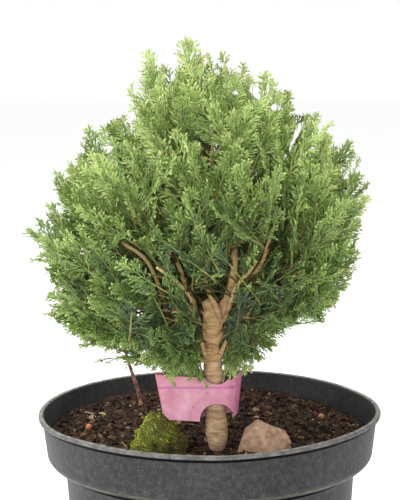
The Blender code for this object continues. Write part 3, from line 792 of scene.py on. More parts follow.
def build_soil():
    """Potting soil: a crumbly top, and a plain body that fills the pot below it."""
    verts = []
    rims = []
    for x, y in circle(SOIL_STEPS):
        rim = pot_inner_radius(SOIL_TOP) - SOIL_CLEARANCE
        rims.append(pot_inner_radius(soil_height(rim * x, rim * y)) - SOIL_CLEARANCE)
    for ring in range(1, SOIL_RINGS + 1):
        for rim, (x, y) in zip(rims, circle(SOIL_STEPS)):
            radius = rim * ring / SOIL_RINGS
            verts.append(Vector((radius * x, radius * y, soil_height(radius * x, radius * y))))
    sides = (
        (COLLAR_BOTTOM_RADIUS - WALL - SOIL_SIDE_CLEARANCE, POT_HEIGHT - COLLAR_HEIGHT + WALL),
        (WALL_TOP_RADIUS - WALL - SOIL_SIDE_CLEARANCE, LEDGE_HEIGHT),
        (WALL_TOP_RADIUS - WALL - SOIL_SIDE_CLEARANCE, SHOULDER_BOTTOM),
        (BASE_RADIUS - 2 * WALL, WALL + SOIL_FLOOR_CLEARANCE))
    for radius, height in sides:
        verts += [Vector((radius * x, radius * y, height)) for x, y in circle(SOIL_STEPS)]
    verts.append(Vector((0.0, 0.0, soil_height(0.0, 0.0))))
    verts.append(Vector((0.0, 0.0, WALL + SOIL_FLOOR_CLEARANCE)))
    soil = add_mesh("soil_body", verts, ring_faces(SOIL_RINGS + len(sides), SOIL_STEPS, turned=True))
    material = mottled("moist_soil", (
        linear(16, 11, 8), linear(35, 24, 16), linear(55, 39, 27), linear(84, 62, 44)),
        0.0040, 0.95, 0.0009, 0.0010)
    finish_piece(soil, "soil", ["soil"], dull(material))


def free_spot(draw):
    """A place on the soil clear of the trunk, the stone and the moss."""
    while True:
        radius = (pot_inner_radius(SOIL_TOP) - CHIP_CLEARANCE) * math.sqrt(draw.random())
        angle = draw.uniform(0.0, 2 * math.pi)
        x = radius * math.cos(angle)
        y = radius * math.sin(angle)
        if all(math.hypot(x - foot.x, y - foot.y) > room for foot, room in KEPT_FREE):
            return Vector((x, y, soil_height(x, y)))


def crumb(draw, place, size, flat, sides):
    """One rough crumb or chip: a low irregular double cone, as points and triangles."""
    turn = Matrix.Rotation(draw.uniform(0.0, 2 * math.pi), 3, "Z")
    lean = Matrix.Rotation(draw.uniform(-CRUMB_LEAN, CRUMB_LEAN), 3, "X")
    lean = lean @ Matrix.Rotation(draw.uniform(-CRUMB_LEAN, CRUMB_LEAN), 3, "Y")
    points = [Vector((0.0, 0.0, 0.5 * flat)), Vector((0.0, 0.0, -0.5 * flat))]
    for x, y in circle(sides):
        reach = draw.uniform(0.35, 0.6)
        points.append(Vector((reach * x, reach * 0.6 * y, draw.uniform(-0.2, 0.2) * flat)))
    points = [place + turn @ (lean @ point) * size for point in points]
    triangles = []
    for side in range(sides):
        here = 2 + side
        after = 2 + (side + 1) % sides
        triangles += [(0, here, after), (1, after, here)]
    return points, triangles


def fibre(draw):
    """One thin bent fibre on the soil, as points and faces."""
    place = free_spot(draw)
    length = draw.uniform(*FIBRE_LENGTHS)
    heading = Vector((1.0, 0.0, draw.uniform(-0.1, 0.35)))
    heading.rotate(Matrix.Rotation(draw.uniform(0, 2 * math.pi), 3, "Z"))
    end = place + heading * length
    if math.hypot(end.x, end.y) > pot_inner_radius(SOIL_TOP) - CHIP_CLEARANCE:
        heading.negate()
    bend = Vector((draw.uniform(-1, 1), draw.uniform(-1, 1), draw.uniform(0.0, 1.0))) * length * 0.2
    first = place + heading * length * 0.4 + bend
    second = place + heading * length * 0.7
    line = bezier(place, first, second, place + heading * length, FIBRE_POINTS)
    return sweep(line, [draw.uniform(*FIBRE_RADII)] * FIBRE_POINTS, 4)


def build_chips():
    """Bark chips, grit and fibres scattered over the soil."""
    draw = random.Random(f"{SEED} chips")
    heap = Heap()
    for kind in CRUMB_KINDS:
        for _ in range(kind.count):
            place = free_spot(draw)
            size = draw.uniform(*kind.sizes)
            if kind.squeeze is not None:
                size *= draw.uniform(*kind.squeeze)
            slot = draw.choices((0, 1, 2, 3), kind.shares)[0]
            place += UP * size * kind.lift
            heap.add(*crumb(draw, place, size, draw.uniform(*kind.flatness), kind.sides), slot)
    for _ in range(FIBRE_COUNT):
        verts, faces = fibre(draw)
        heap.add(verts, split_faces(faces), draw.choices((1, 2, 3), (4, 4, 2))[0])
    materials = [dull(material) for material in tone_set(CRUMB_TONES, 0.0015, 0.9, 0.0002, 0.0006)]
    finish_piece(heap.build("soil_chips"), "soil", [], *materials)


def build_prills():
    """Round orange grains of slow feed, half sunk in the soil."""
    shape = bmesh.new()
    for x, y in PRILL_PLACES:
        place = Matrix.Translation((x, y, soil_height(x, y) + PRILL_LIFT))
        bmesh.ops.create_icosphere(shape, subdivisions=3, radius=PRILL_RADIUS, matrix=place)
    for vertex in shape.verts:
        vertex.co += vertex.co.normalized() * 0.0001 * wobble(vertex.co, 0.001)
    prills = add_shape("feed_prills", shape, smooth=True)
    material = mottled(
        "prill", (linear(150, 84, 46), linear(188, 118, 74)), 0.001, 0.5, 0.0001, 0.0005)
    finish_piece(prills, "soil", [], material)


# Stone, moss and dead stem


STONE_SPLITS = 3
STONE_EDGE = 0.0009
STONE_ROUNDING = 0.00030
STONE_CRACK = 0.00055
MOSS_TUFTS = 4600
MOSS_BLADE = 0.0015
MOSS_TONES = (
    ("moss_brown", (74, 66, 28), (104, 90, 40)),
    ("moss_olive", (92, 96, 30), (122, 122, 42)),
    ("moss_green", (122, 134, 36), (150, 158, 50)),
    ("moss_bright", (158, 170, 56), (188, 196, 80)))
DEAD_STEM_RINGS = 60


def build_stone():
    """The angular stone, with chipped edges and a pitted skin."""
    shape = bmesh.new()
    for corner in STONE_CORNERS:
        offset = Vector(part * size for part, size in zip(corner, STONE_SIZE))
        if corner[2] == 0.0:
            offset.z = -SOIL_BURIES
        shape.verts.new(STONE_PLACE + offset)
    hull = bmesh.ops.convex_hull(shape, input=shape.verts)
    loose = [one for one in hull["geom_interior"] if isinstance(one, bmesh.types.BMVert)]
    bmesh.ops.delete(shape, geom=loose, context="VERTS")
    bmesh.ops.bevel(shape, geom=list(shape.edges), offset=STONE_ROUNDING, segments=1, affect="EDGES")
    bmesh.ops.triangulate(shape, faces=shape.faces)
    for _ in range(STONE_SPLITS):
        long_edges = [edge for edge in shape.edges if edge.calc_length() > STONE_EDGE]
        bmesh.ops.subdivide_edges(shape, edges=long_edges, cuts=1)
        bmesh.ops.triangulate(shape, faces=shape.faces)
    shape.normal_update()
    moves = []
    for vertex in shape.verts:
        bumps = 0.00030 * wobble(vertex.co, 0.0050) + 0.00020 * wobble(vertex.co, 0.0018, 2.0)
        bumps += 0.00012 * wobble(vertex.co, 0.0007, 4.0)
        crack = wobble(vertex.co, 0.0110, 13.0)
        bumps -= STONE_CRACK * math.exp(-(crack / 0.035) ** 2)
        moves.append(vertex.normal * bumps)
    for vertex, move in zip(shape.verts, moves):
        vertex.co += move
    stone = add_shape("angular_stone", shape, smooth=True)
    stone.data.set_sharp_from_angle(angle=math.radians(16))
    material = mottled("pinkish_stone", (
        linear(148, 114, 90), linear(174, 140, 115), linear(188, 154, 128), linear(202, 170, 144)),
        0.0030, 0.85, 0.0004, 0.0008)
    finish_piece(stone, "stone", ["stone"], material)


def moss_radius(direction):
    """Size of the moss cushion in a direction, as shares of its three sizes."""
    peak = 0.24 * math.exp(-((direction.x + 0.20) / 0.62) ** 2) * direction.z
    slope = -0.12 * max(0.0, direction.x) * direction.z
    lumps = 0.14 * wobble(direction, 0.55, 6.0) + 0.16 * wobble(direction, 0.28, 9.0)
    return 0.97 + peak + slope + lumps


def build_moss():
    """A low cushion of moss: a lumpy body with short blades all over it."""
    draw = random.Random(f"{SEED} moss")
    shape = bmesh.new()
    bmesh.ops.create_icosphere(shape, subdivisions=5, radius=1.0)
    for vertex in shape.verts:
        swell = moss_radius(vertex.co) * 0.93
        spot = Vector(part * size * swell for part, size in zip(vertex.co, MOSS_SIZE))
        spot.z = max(spot.z, -SOIL_BURIES)
        vertex.co = MOSS_PLACE + spot
    body = add_shape("moss_body", shape, smooth=True)
    ground = mottled("moss_ground", (
        linear(44, 48, 16), linear(78, 82, 26), linear(104, 96, 36)), 0.003, 0.95, 0.0006, 0.001)
    finish_piece(body, "moss", ["moss_cushion"], ground)
    heap = Heap()
    for index in range(MOSS_TUFTS):
        height = draw.uniform(0.0, 1.0)
        angle = index * GOLDEN_ANGLE
        flat = math.sqrt(1.0 - height ** 2)
        out = Vector((flat * math.cos(angle), flat * math.sin(angle), height))
        swell = moss_radius(out) * 0.90
        foot = MOSS_PLACE + Vector(part * size * swell for part, size in zip(out, MOSS_SIZE))
        lean = Vector((draw.uniform(-1, 1), draw.uniform(-1, 1), draw.uniform(-0.2, 1.0))) * 0.55
        heading = (out + lean).normalized()
        side = heading.orthogonal().normalized() * MOSS_BLADE * 0.20
        side.rotate(Matrix.Rotation(draw.uniform(0, math.pi), 3, heading))
        length = MOSS_BLADE * draw.uniform(0.6, 1.2)
        middle = foot + heading * length * 0.55
        tip = foot + (heading + lean * 0.4).normalized() * length
        # Painted light: blades on the cushion's top and left get the lighter tones, those low on the right
        # the darker; the noise and chance terms are random tone
        bright = 0.80 * (out.z - 0.5) - 0.70 * out.x + 1.0 * wobble(out, 0.34, 12.0) + draw.gauss(0.0, 0.20)
        slot = 0 if bright < -0.22 else 1 if bright < 0.12 else 2 if bright < 0.45 else 3
        points = (foot - side * 0.7, foot + side * 0.7, middle - side, middle + side, tip)
        heap.add(points, ((0, 1, 3), (0, 3, 2), (2, 3, 4)), slot)
    materials = tone_set(MOSS_TONES, 0.002, 0.9, 0.0001, 0.0005)
    finish_piece(heap.build("moss_blades"), "moss", [], *materials)


def build_dead_stem():
    """The thin dead stem, with knots and peeling bark."""
    lean = DEAD_STEM_TIP - DEAD_STEM_FOOT
    side = Vector((1.0, 0.0, 0.0))
    first = DEAD_STEM_FOOT + UP * 0.012
    second = DEAD_STEM_FOOT + lean * 0.7 - side * 0.0022
    line = bezier(DEAD_STEM_FOOT, first, second, DEAD_STEM_TIP, DEAD_STEM_RINGS)
    radii = [DEAD_STEM_RADIUS * (1.0 - 0.4 * i / (DEAD_STEM_RINGS - 1)) for i in range(DEAD_STEM_RINGS)]

    def relief(spot, share, radius):
        knots = 0.00030 * max(0.0, math.sin(share * 19.0)) ** 6
        return knots + 0.00018 * wobble(spot, 0.0012)

    verts, faces = sweep(line, radii, 12, relief)
    stem = add_mesh("dead_stem_bark", verts, faces)
    material = mottled("dead_wood", (
        linear(84, 52, 38), linear(132, 92, 70), linear(176, 136, 110)), 0.002, 0.88, 0.0003, 0.001)
    finish_piece(stem, "dead_wood", ["dead_stem"], material)


# Label


LABEL_ROWS = 22
LABEL_WAVE = 0.00022
LABEL_SAG = 0.0015
LABEL_BACK_DROP = 0.0050
LABEL_LEAN = ((LABEL_LEFT, 0.0044), (-0.0060, 0.0), (0.0090, 0.0), (LABEL_RIGHT, -0.0022))
LABEL_TOP_SLOPE = (
    (LABEL_LEFT, -0.0006), (-0.0039, -0.0024), (0.0037, -0.0008), (0.0110, -0.0040),
    (LABEL_RIGHT, 0.0006))
LABEL_BOTTOM_SLOPE = (
    (LABEL_LEFT, 0.0010), (-0.0025, -0.0003), (0.0037, 0.0), (0.0125, 0.0014), (LABEL_RIGHT, 0.0032))


def label_path():
    """The label's run seen from above: a flat front held against the trunk and a loose loop behind."""
    centre = trunk_axis((LABEL_TOP + LABEL_BOTTOM) / 2 - SOIL_TOP)[0]
    seat = trunk_axis(LABEL_SEAT - SOIL_TOP)[1]
    front = centre.y - seat - 0.0003 - LABEL_THICKNESS / 2
    back = centre.y + seat + 0.0028
    end = centre.y - 0.0025
    return (
        (LABEL_LEFT, end),
        (LABEL_LEFT + 0.0085, end - 0.0022),
        (centre.x - 0.0110, front + 0.0006),
        (centre.x - 0.0040, front),
        (centre.x + 0.0040, front),
        (centre.x + 0.0095, front + 0.0012),
        (LABEL_RIGHT - 0.0012, front + 0.0040),
        (LABEL_RIGHT, centre.y + 0.0010),
        (LABEL_RIGHT - 0.0022, back - 0.0016),
        (centre.x + 0.0060, back),
        (centre.x - 0.0020, back - 0.0004),
        (centre.x - 0.0100, centre.y + 0.0040),
        (LABEL_LEFT + 0.0100, end + 0.0022),
    )


def label_point(spot, rise):
    """A point of the label's wall: its ends lean in below, and its edges slope and wave a little."""
    down = 1.0 - rise
    x = spot.x + down * between(LABEL_LEAN, spot.x)
    height = LABEL_BOTTOM + (LABEL_TOP - LABEL_BOTTOM) * rise
    height += rise ** 2 * between(LABEL_TOP_SLOPE, spot.x) + down ** 2 * between(LABEL_BOTTOM_SLOPE, spot.x)
    height -= LABEL_SAG + rise * LABEL_BACK_DROP * min(1.0, max(0.0, (spot.y - TRUNK_FOOT.y) / 0.004))
    wave = LABEL_WAVE * wobble((spot.x, spot.y, height), 0.010, 1.0)
    return Vector((x, spot.y + wave, height))


def build_label():
    """The thin pink plastic label looped round the trunk, notched where the trunk shows."""
    path = label_path()
    curve = bpy.data.curves.new("label_strip", "CURVE")
    curve.dimensions = "2D"
    curve.resolution_u = 10
    spline = curve.splines.new("BEZIER")
    spline.bezier_points.add(len(path) - 1)
    for spot, (x, y) in zip(spline.bezier_points, path):
        spot.co = (x, y, 0.0)
        spot.handle_left_type = "AUTO"
        spot.handle_right_type = "AUTO"
    spline.use_cyclic_u = True
    curve.fill_mode = "NONE"
    guide = place_new("label_guide", curve)
    graph = bpy.context.evaluated_depsgraph_get()
    outline = bpy.data.meshes.new_from_object(guide.evaluated_get(graph))
    loop = [vertex.co.copy() for vertex in outline.vertices]
    bpy.data.objects.remove(guide, do_unlink=True)
    verts = [label_point(spot, row / LABEL_ROWS) for row in range(LABEL_ROWS + 1) for spot in loop]
    label = add_mesh("plant_label", verts, ring_faces(LABEL_ROWS + 1, len(loop), closed=False))
    wall = label.modifiers.new("wall", "SOLIDIFY")
    wall.thickness = LABEL_THICKNESS
    wall.offset = 0.0
    bake_modifiers(label)
    front = path[3][1]
    notches = []
    for height, (half_width, half_height) in (
            (LABEL_SEAT - LABEL_LOWER_NOTCH[1], LABEL_LOWER_NOTCH), (LABEL_TOP, LABEL_UPPER_NOTCH)):
        size = Matrix.Diagonal((half_width, 0.004, half_height, 1.0))
        place = Matrix.Translation((TRUNK_FOOT.x, front, height))
        notches.append(place @ size @ Matrix.Rotation(math.pi / 2, 4, "X"))
    cut_holes(label, notches)
    shape = bmesh.new()
    place = Matrix.Translation((LABEL_LEFT, path[0][1], LABEL_BOTTOM))
    place = place @ Matrix.Rotation(-math.pi / 4, 4, "Y")
    bmesh.ops.create_cube(shape, size=1.0, matrix=place @ Matrix.Diagonal((LABEL_CORNER, 0.03, 0.03, 1.0)))
    apply_cut(label, add_shape("corner", shape))
    label.data.set_sharp_from_angle(angle=math.radians(40))
    finish_piece(label, "label_plastic", ["label"], label_material())


# Trunk and boughs


def trunk_axis(height):
    """Centre and radius of the trunk at a height above the soil."""
    for low, high in zip(TRUNK_STATIONS, TRUNK_STATIONS[1:]):
        if height <= high[0] + 1e-9:
            share = (height - low[0]) / (high[0] - low[0])
            lean = low[1] + share * (high[1] - low[1])
            radius = low[2] + share * (high[2] - low[2])
            return TRUNK_FOOT + Vector((lean, 0.0, height)), radius
    raise ValueError("above the fork")


FORK = trunk_axis(TRUNK_STATIONS[-1][0])[0]

TRUNK_SIDES = 48
TRUNK_RINGS = 170
BOUGH_SIDES = 12
BOUGH_RINGS = 40
FOOT_TAPER = 0.34
FOOT_TAPER_HEIGHT = 0.0045
TRUNK_BLEND = (-0.0022, 0.0, 0.0022)
TRUNK_END_RINGS = 7
TRUNK_END_RISE = 0.0030
RING_SPACING = 0.0024
FORK_LUMPS = 0.0012
COLLAR_SWELL = 0.55
COLLAR_SPREAD = 0.006
SIDE_START = 62.0
BOW = 0.0035
LEADER_START = 0.0640
LEADER_OUT = Vector((0.0095, -0.0020, 0.0150))
LEADER_BOW = Vector((0.0195, -0.0010, 0.0))
LEADER_RADIUS = 0.0030
BOUGH_BOWS = {"upper_1": Vector((-0.0160, 0.0, 0.0)), "upper_2": Vector((0.0060, -0.0030, -0.0030))}
BOUGH_STARTS = {"upper_1": Vector((0.0114, -0.0066, 0.0)), "upper_2": Vector((0.0085, -0.0020, 0.0190))}
BOUGH_ENDS = {"upper_2": Vector((0.0058, -0.0010, -0.0018))}
STUB_END = Vector((-0.0050, -0.0012, 0.0072))
STUB_RADIUS = 0.0036
STUB_RINGS = 18
OUTER_BRANCH = (
    (0.0010, -0.0310, 0.1815), (-0.0075, -0.0335, 0.1885), (-0.0160, -0.0370, 0.1975),
    (-0.0208, -0.0400, 0.2085), (-0.0238, -0.0430, 0.2200), (-0.0272, -0.0460, 0.2310),
    (-0.0330, -0.0490, 0.2420), (-0.0440, -0.0520, 0.2500),
)
OUTER_BRANCH_RADIUS = 0.0013
OUTER_BRANCH_RINGS = 70
OUTER_BRANCH_SEEN = 27


def limb_azimuths(tier):
    """Evenly spaced azimuths in degrees, with the tier's opening centred on the front."""
    if tier.opening == 0:
        return [FRONT_AZIMUTH + 360.0 * i / tier.count for i in range(tier.count)]
    spacing = (360.0 - tier.opening) / (tier.count - 1)
    return [FRONT_AZIMUTH + tier.opening / 2 + spacing * i for i in range(tier.count)]


def unit(azimuth, elevation):
    """The direction at an azimuth and an elevation in degrees."""
    flat = math.cos(math.radians(elevation))
    return Vector((
        flat * math.cos(math.radians(azimuth)),
        flat * math.sin(math.radians(azimuth)),
        math.sin(math.radians(elevation))))


def limb_directions():
    """Each limb's name, tier, azimuth and direction from the fork."""
    draw = random.Random(SEED)
    limbs = []
    for tier in TIERS:
        for index, azimuth in enumerate(limb_azimuths(tier)):
            azimuth += draw.uniform(-DIRECTION_JITTER, DIRECTION_JITTER)
            elevation = tier.elevation + draw.uniform(-DIRECTION_JITTER, DIRECTION_JITTER)
            name = tier.name if tier.count == 1 else f"{tier.name}_{index + 1}"
            limbs.append((name, tier, azimuth, unit(azimuth, elevation)))
    return limbs


def bark_relief(spot, share, radius):
    """Rings, lumps and scales of the bark, as a change of radius."""
    height = spot.z + 0.0012 * wobble(spot, 0.006, 2.0)
    rings = math.sin(2 * math.pi * height / RING_SPACING) ** 2 - 0.5
    rough = wobble(spot, 0.0022, 7.0)
    fork = math.exp(-((spot.z - FORK.z + 0.006) / 0.014) ** 2)
    lumps = wobble(spot, 0.0045, 4.0) * FORK_LUMPS * (0.30 + fork)
    return radius * (0.045 * rings + 0.035 * rough) + lumps * min(1.0, radius / 0.004)


def trunk_line():
    """The trunk's centre line and radii, closely spaced and smooth, from just under the soil's surface."""
    height = TRUNK_STATIONS[-1][0]
    points = [TRUNK_FOOT - UP * SOIL_BURIES]
    radii = [TRUNK_STATIONS[0][2] * (1.0 - FOOT_TAPER)]
    for index in range(TRUNK_RINGS):
        share = index / (TRUNK_RINGS - 1)
        samples = [trunk_axis(min(max(share * height + offset, 0.0), height)) for offset in TRUNK_BLEND]
        centre = sum((one[0] for one in samples), Vector()) / 3
        centre.z = TRUNK_FOOT.z + share * height
        points.append(centre)
        taper = FOOT_TAPER * math.exp(-share * height / FOOT_TAPER_HEIGHT)
        radii.append((1.0 - taper) * sum(one[1] for one in samples) / 3)
    crown = points[-1]
    last = radii[-1]
    for step in range(1, TRUNK_END_RINGS):
        share = step / TRUNK_END_RINGS
        points.append(crown + UP * TRUNK_END_RISE * share)
        radii.append(last * math.sqrt(1.0 - share ** 2))
    return points, radii


def start_azimuth(azimuth):
    """Where a limb leaves the trunk: at its side, where the limb goes on towards the front."""
    turn = azimuth - FRONT_AZIMUTH
    if turn > 180.0:
        turn -= 360.0
    if 8.0 < abs(turn) < SIDE_START:
        return FRONT_AZIMUTH + math.copysign(SIDE_START, turn)
    return azimuth


def limb_line(name, tier, azimuth, direction, reach):
    """A limb's centre line, from inside the trunk along its bough and on through its foliage."""
    centre = trunk_axis(tier.start)[0]
    end = FORK + direction * tier.inner + BOUGH_ENDS.get(name, Vector())
    if tier.count == 1:
        centre = trunk_axis(LEADER_START)[0]
        first = centre + LEADER_OUT
        second = end - direction * tier.inner * BOUGH_SWEEP + LEADER_BOW
    else:
        outward = unit(start_azimuth(azimuth), 0.0) * tier.inner * (BOUGH_OUTWARD + 0.14)
        first = centre + BOUGH_STARTS.get(name, outward)
        second = end - direction * tier.inner * BOUGH_SWEEP + BOUGH_BOWS.get(name, Vector())
    line = bezier(centre, first, second, end, BOUGH_RINGS)
    stem_end = FORK + direction * reach * STEM_SHARE
    bow = direction.cross(UP)
    if bow.length < 0.2:
        bow = Vector((1.0, 0.0, 0.0))
    bow.normalize()
    stem = []
    for index in range(1, BOUGH_RINGS // 2):
        share = index / (BOUGH_RINGS // 2 - 1)
        sway = BOW * math.sin(math.pi * share) * math.sin(azimuth)
        stem.append(end.lerp(stem_end, share) + bow * sway * 0.5)
    return line + stem


def outer_branch_line():
    """The branch that leaves the trunk low on the left and rises into the foliage."""
    corners = [Vector(corner) for corner in OUTER_BRANCH]
    points = []
    for index in range(OUTER_BRANCH_RINGS):
        place = index / (OUTER_BRANCH_RINGS - 1) * (len(corners) - 1)
        here = min(int(place), len(corners) - 2)
        share = place - here
        before = corners[max(here - 1, 0)]
        after = corners[min(here + 2, len(corners) - 1)]
        start = corners[here]
        stop = corners[here + 1]
        first = start + (stop - before) / 6
        second = stop - (after - start) / 6
        rest = 1.0 - share
        points.append(
            start * rest ** 3 + first * 3 * rest ** 2 * share + second * 3 * rest * share ** 2
            + stop * share ** 3)
    return points


def stub_line():
    """The trunk's own rounded end, beside the leader."""
    foot = FORK - UP * 0.0065
    return bezier(foot, foot + UP * 0.0040, FORK + STUB_END * 0.6, FORK + STUB_END, STUB_RINGS)


def limb_radii(tier, count):
    """Radii along a limb: a swollen collar, the bough's taper and the stem's."""
    radii = []
    for index in range(count):
        if index < BOUGH_RINGS:
            share = index / (BOUGH_RINGS - 1)
            foot = LEADER_RADIUS if tier.count == 1 else tier.radius
            radius = foot + (tier.radius * BOUGH_TAPER - foot) * share
            radius *= 1.0 + COLLAR_SWELL * math.exp(-((share * tier.inner) / COLLAR_SPREAD) ** 2)
        else:
            share = (index - BOUGH_RINGS) / (count - BOUGH_RINGS)
            foot = tier.radius * BOUGH_TAPER
            radius = foot + (TWIG_RADIUS * 0.7 - foot) * share
        radii.append(radius)
    return radii


def build_bark(masses):
    """The trunk and every bough, in bark with relief."""
    verts = []
    faces = []

    def add(part):
        start = len(verts)
        verts.extend(part[0])
        faces.extend(tuple(start + corner for corner in face) for face in part[1])

    points, radii = trunk_line()
    add(sweep(points, radii, TRUNK_SIDES, bark_relief))
    nodes = ["trunk"]
    for mass in masses:
        radii = limb_radii(mass.tier, len(mass.line))
        add(sweep(mass.line, radii, BOUGH_SIDES, bark_relief))
        nodes.append("bough_" + mass.name)
    round_end = [math.sqrt(1.0 - (i / STUB_RINGS) ** 6) for i in range(STUB_RINGS)]
    add(sweep(stub_line(), [STUB_RADIUS * share for share in round_end], BOUGH_SIDES * 2, bark_relief))
    taper = [OUTER_BRANCH_RADIUS * (1.15 - 0.5 * i / OUTER_BRANCH_RINGS) for i in range(OUTER_BRANCH_RINGS)]
    add(sweep(outer_branch_line(), taper, BOUGH_SIDES, bark_relief))
    bark = add_mesh("trunk_and_boughs", verts, faces)
    finish_piece(bark, "bark", nodes, bark_material())


# Fronds: flat sprays of scale leaves, drawn once as patterns 1 long that lie along +X, face up


Kind = namedtuple("Kind", "count pinnae step width")
FINE = Kind(20, 17, 0.034, 0.030)
COARSE = Kind(8, 11, 0.058, 0.044)
PINNA_START = 0.07
PINNA_LENGTH = 0.40
LEAFLET_WIDEST = 0.62
PINNA_SECTIONS = ((0.0, 0.60), (0.36, 0.92), (0.88, 0.92))
RIDGE = 0.26
AXIS_POINTS = 5
MISSING_PINNAE = 0.08

KITE_TRIANGLES = ((0, 1, 2), (0, 2, 3), (1, 4, 2), (2, 4, 3))
FROND_END = 0.94
AXIS_RADIUS = 0.0115
AXIS_TAPER = 0.0065

Pattern = namedtuple("Pattern", (
    "points", "triangles", "tones", "ends", "point_strips", "triangle_strips",
    "axis_points", "axis_triangles", "axis_tones"))


def leaf_strip(store, start, angle, bend, length, width, sections, tone, roll, lift, end=1.0):
    """A narrow leafy strip: a low roof along a curved line, ending in a blunt point."""
    base = len(store["points"])
    x, y, z = start
    heading = angle
    previous = 0.0
    for share, half in sections:
        step = (share - previous) * length
        heading = angle + bend * share
        x += step * math.cos(heading)
        y += step * math.sin(heading)
        z += step * lift
        previous = share
        side = (
            -math.sin(heading) * math.cos(roll) * width * half / 2,
            math.cos(heading) * math.cos(roll) * width * half / 2,
            math.sin(roll) * width * half / 2)
        store["points"] += [
            (x - side[0], y - side[1], z - side[2]),
            (x, y, z + RIDGE * width * half),
            (x + side[0], y + side[1], z + side[2])]
    step = (1.0 - previous) * length
    store["points"].append((x + step * math.cos(heading), y + step * math.sin(heading), z + step * lift))
    first = len(store["triangles"])
    for section in range(len(sections) - 1):
        low = base + 3 * section
        for edge in (0, 1):
            a = low + edge
            store["triangles"] += [(a, a + 3, a + 4), (a, a + 4, a + 1)]
            store["tones"] += [tone + section * 0.15] * 2
            store["ends"] += [0.0] * 2
    low = base + 3 * (len(sections) - 1)
    tip = low + 3
    store["triangles"] += [(low, tip, low + 1), (low + 1, tip, low + 2)]
    store["tones"] += [tone + 0.50] * 2
    store["ends"] += [end] * 2
    number_strip(store, base, first)


def number_strip(store, point_count, triangle_count):
    """Give what was added since a count of points and of triangles the next strip's number."""
    strip = store["strips"]
    store["point_strips"] += [strip] * (len(store["points"]) - point_count)
    store["triangle_strips"] += [strip] * (len(store["triangles"]) - triangle_count)
    store["strips"] += 1


def leaf_kite(store, start, angle, length, width, tone, roll, lift, end):
    """A short branchlet: a narrow kite with a raised middle, blunt at its outer end."""
    base = len(store["points"])
    first = len(store["triangles"])
    x, y, z = start
    along = (math.cos(angle), math.sin(angle), lift)
    side = (
        -math.sin(angle) * math.cos(roll) * width / 2, math.cos(angle) * math.cos(roll) * width / 2,
        math.sin(roll) * width / 2)
    middle = tuple(at + part * length * LEAFLET_WIDEST for at, part in zip((x, y, z), along))
    tip = tuple(at + part * length for at, part in zip((x, y, z), along))
    store["points"] += [
        (x, y, z),
        tuple(at - part for at, part in zip(middle, side)),
        (middle[0], middle[1], middle[2] + RIDGE * width),
        tuple(at + part for at, part in zip(middle, side)),
        tip]
    store["triangles"] += [tuple(base + corner for corner in triangle) for triangle in KITE_TRIANGLES]
    store["tones"] += [tone, tone, tone + 0.45, tone + 0.45]
    store["ends"] += [0.0, 0.0, end, end]
    number_strip(store, base, first)


def add_pinna(store, draw, kind, start, angle, bend, length, tone, lift):
    """A side axis of a frond, with short branchlets left and right in turn."""
    leaf_strip(
        store, start, angle, bend, length, kind.width * 0.95, PINNA_SECTIONS, tone,
        draw.uniform(-0.4, 0.4), lift)
    count = int(length / kind.step)
    for leaflet in range(count):
        along = 0.20 + 0.74 * (leaflet + draw.uniform(-0.3, 0.3)) / max(count, 1)
        side = 1.0 if leaflet % 2 else -1.0
        middle = angle + bend * along / 2
        foot = (
            start[0] + length * along * math.cos(middle),
            start[1] + length * along * math.sin(middle),
            start[2] + length * along * lift)
        size = (0.30 * length * (1.0 - along) + 0.066) * draw.uniform(0.70, 1.30)
        turn = side * math.radians(draw.uniform(24.0, 42.0))
        leaf_kite(
            store, foot, angle + bend * along + turn, size, kind.width * draw.uniform(0.85, 1.15),
            # Branchlets lighten towards the side axis's end: lighter young tips, and painted shade nearer
            # the root
            tone + 0.85 * along + draw.uniform(-0.35, 0.35), draw.uniform(-0.8, 0.8),
            lift + draw.uniform(-0.30, 0.30), along)


def make_pattern(draw, kind):
    """One frond: a main axis, curved side axes left and right in turn, and short branchlets on them."""
    store = {
        "points": [], "triangles": [], "tones": [], "ends": [], "point_strips": [], "triangle_strips": [],
        "strips": 0}
    first_bend = draw.uniform(-0.16, 0.16)
    second_bend = draw.uniform(-0.12, 0.12)

    def axis_at(share):
        return (share, first_bend * share ** 2 + second_bend * share ** 3, 0.0)

    for index in range(kind.pinnae):
        if draw.random() < MISSING_PINNAE:
            continue
        place = index + draw.uniform(-0.3, 0.3)
        share = PINNA_START + (FROND_END - PINNA_START) * place / (kind.pinnae - 1)
        hand = 1.0 if index % 2 else -1.0
        rise = min(1.0, 0.50 + 1.6 * share)
        length = PINNA_LENGTH * rise * (1.06 - share) ** 0.60 * draw.uniform(0.60, 1.28)
        length = max(length, 0.09)
        turn = 2 * first_bend * share + 3 * second_bend * share ** 2
        angle = hand * math.radians(52.0 - 24.0 * share + draw.uniform(-9.0, 9.0)) + turn
        # Side axes go from dark at the frond's root to light at its end: lighter young growth at the tips,
        # and painted shade towards the root
        tone = -0.90 + 0.8 * share + draw.uniform(-0.65, 0.65)
        add_pinna(
            store, draw, kind, axis_at(share), angle, -hand * draw.uniform(0.10, 0.55), length, tone,
            draw.uniform(-0.22, 0.26))
    add_pinna(store, draw, kind, axis_at(0.86), 2 * first_bend + 3 * second_bend, 0.0, 0.16, 0.2, 0.0)
    line = [Vector(axis_at(FROND_END * i / (AXIS_POINTS - 1))) for i in range(AXIS_POINTS)]
    radii = [AXIS_RADIUS - AXIS_TAPER * i / (AXIS_POINTS - 1) for i in range(AXIS_POINTS)]
    verts, faces = sweep(line, radii, TWIG_SIDES)
    triangles = split_faces(faces)
    tones = [verts[triangle[0]].x for triangle in triangles]
    leaves = [np.array(store[field]) for field in Pattern._fields[:6]]
    return Pattern(*leaves, rows_of(verts), np.array(triangles), np.array(tones))


# Foliage


Mass = namedtuple("Mass", "name tier direction others line reach")
Spray = namedtuple("Spray", "matrix curl cup tone pattern tan")

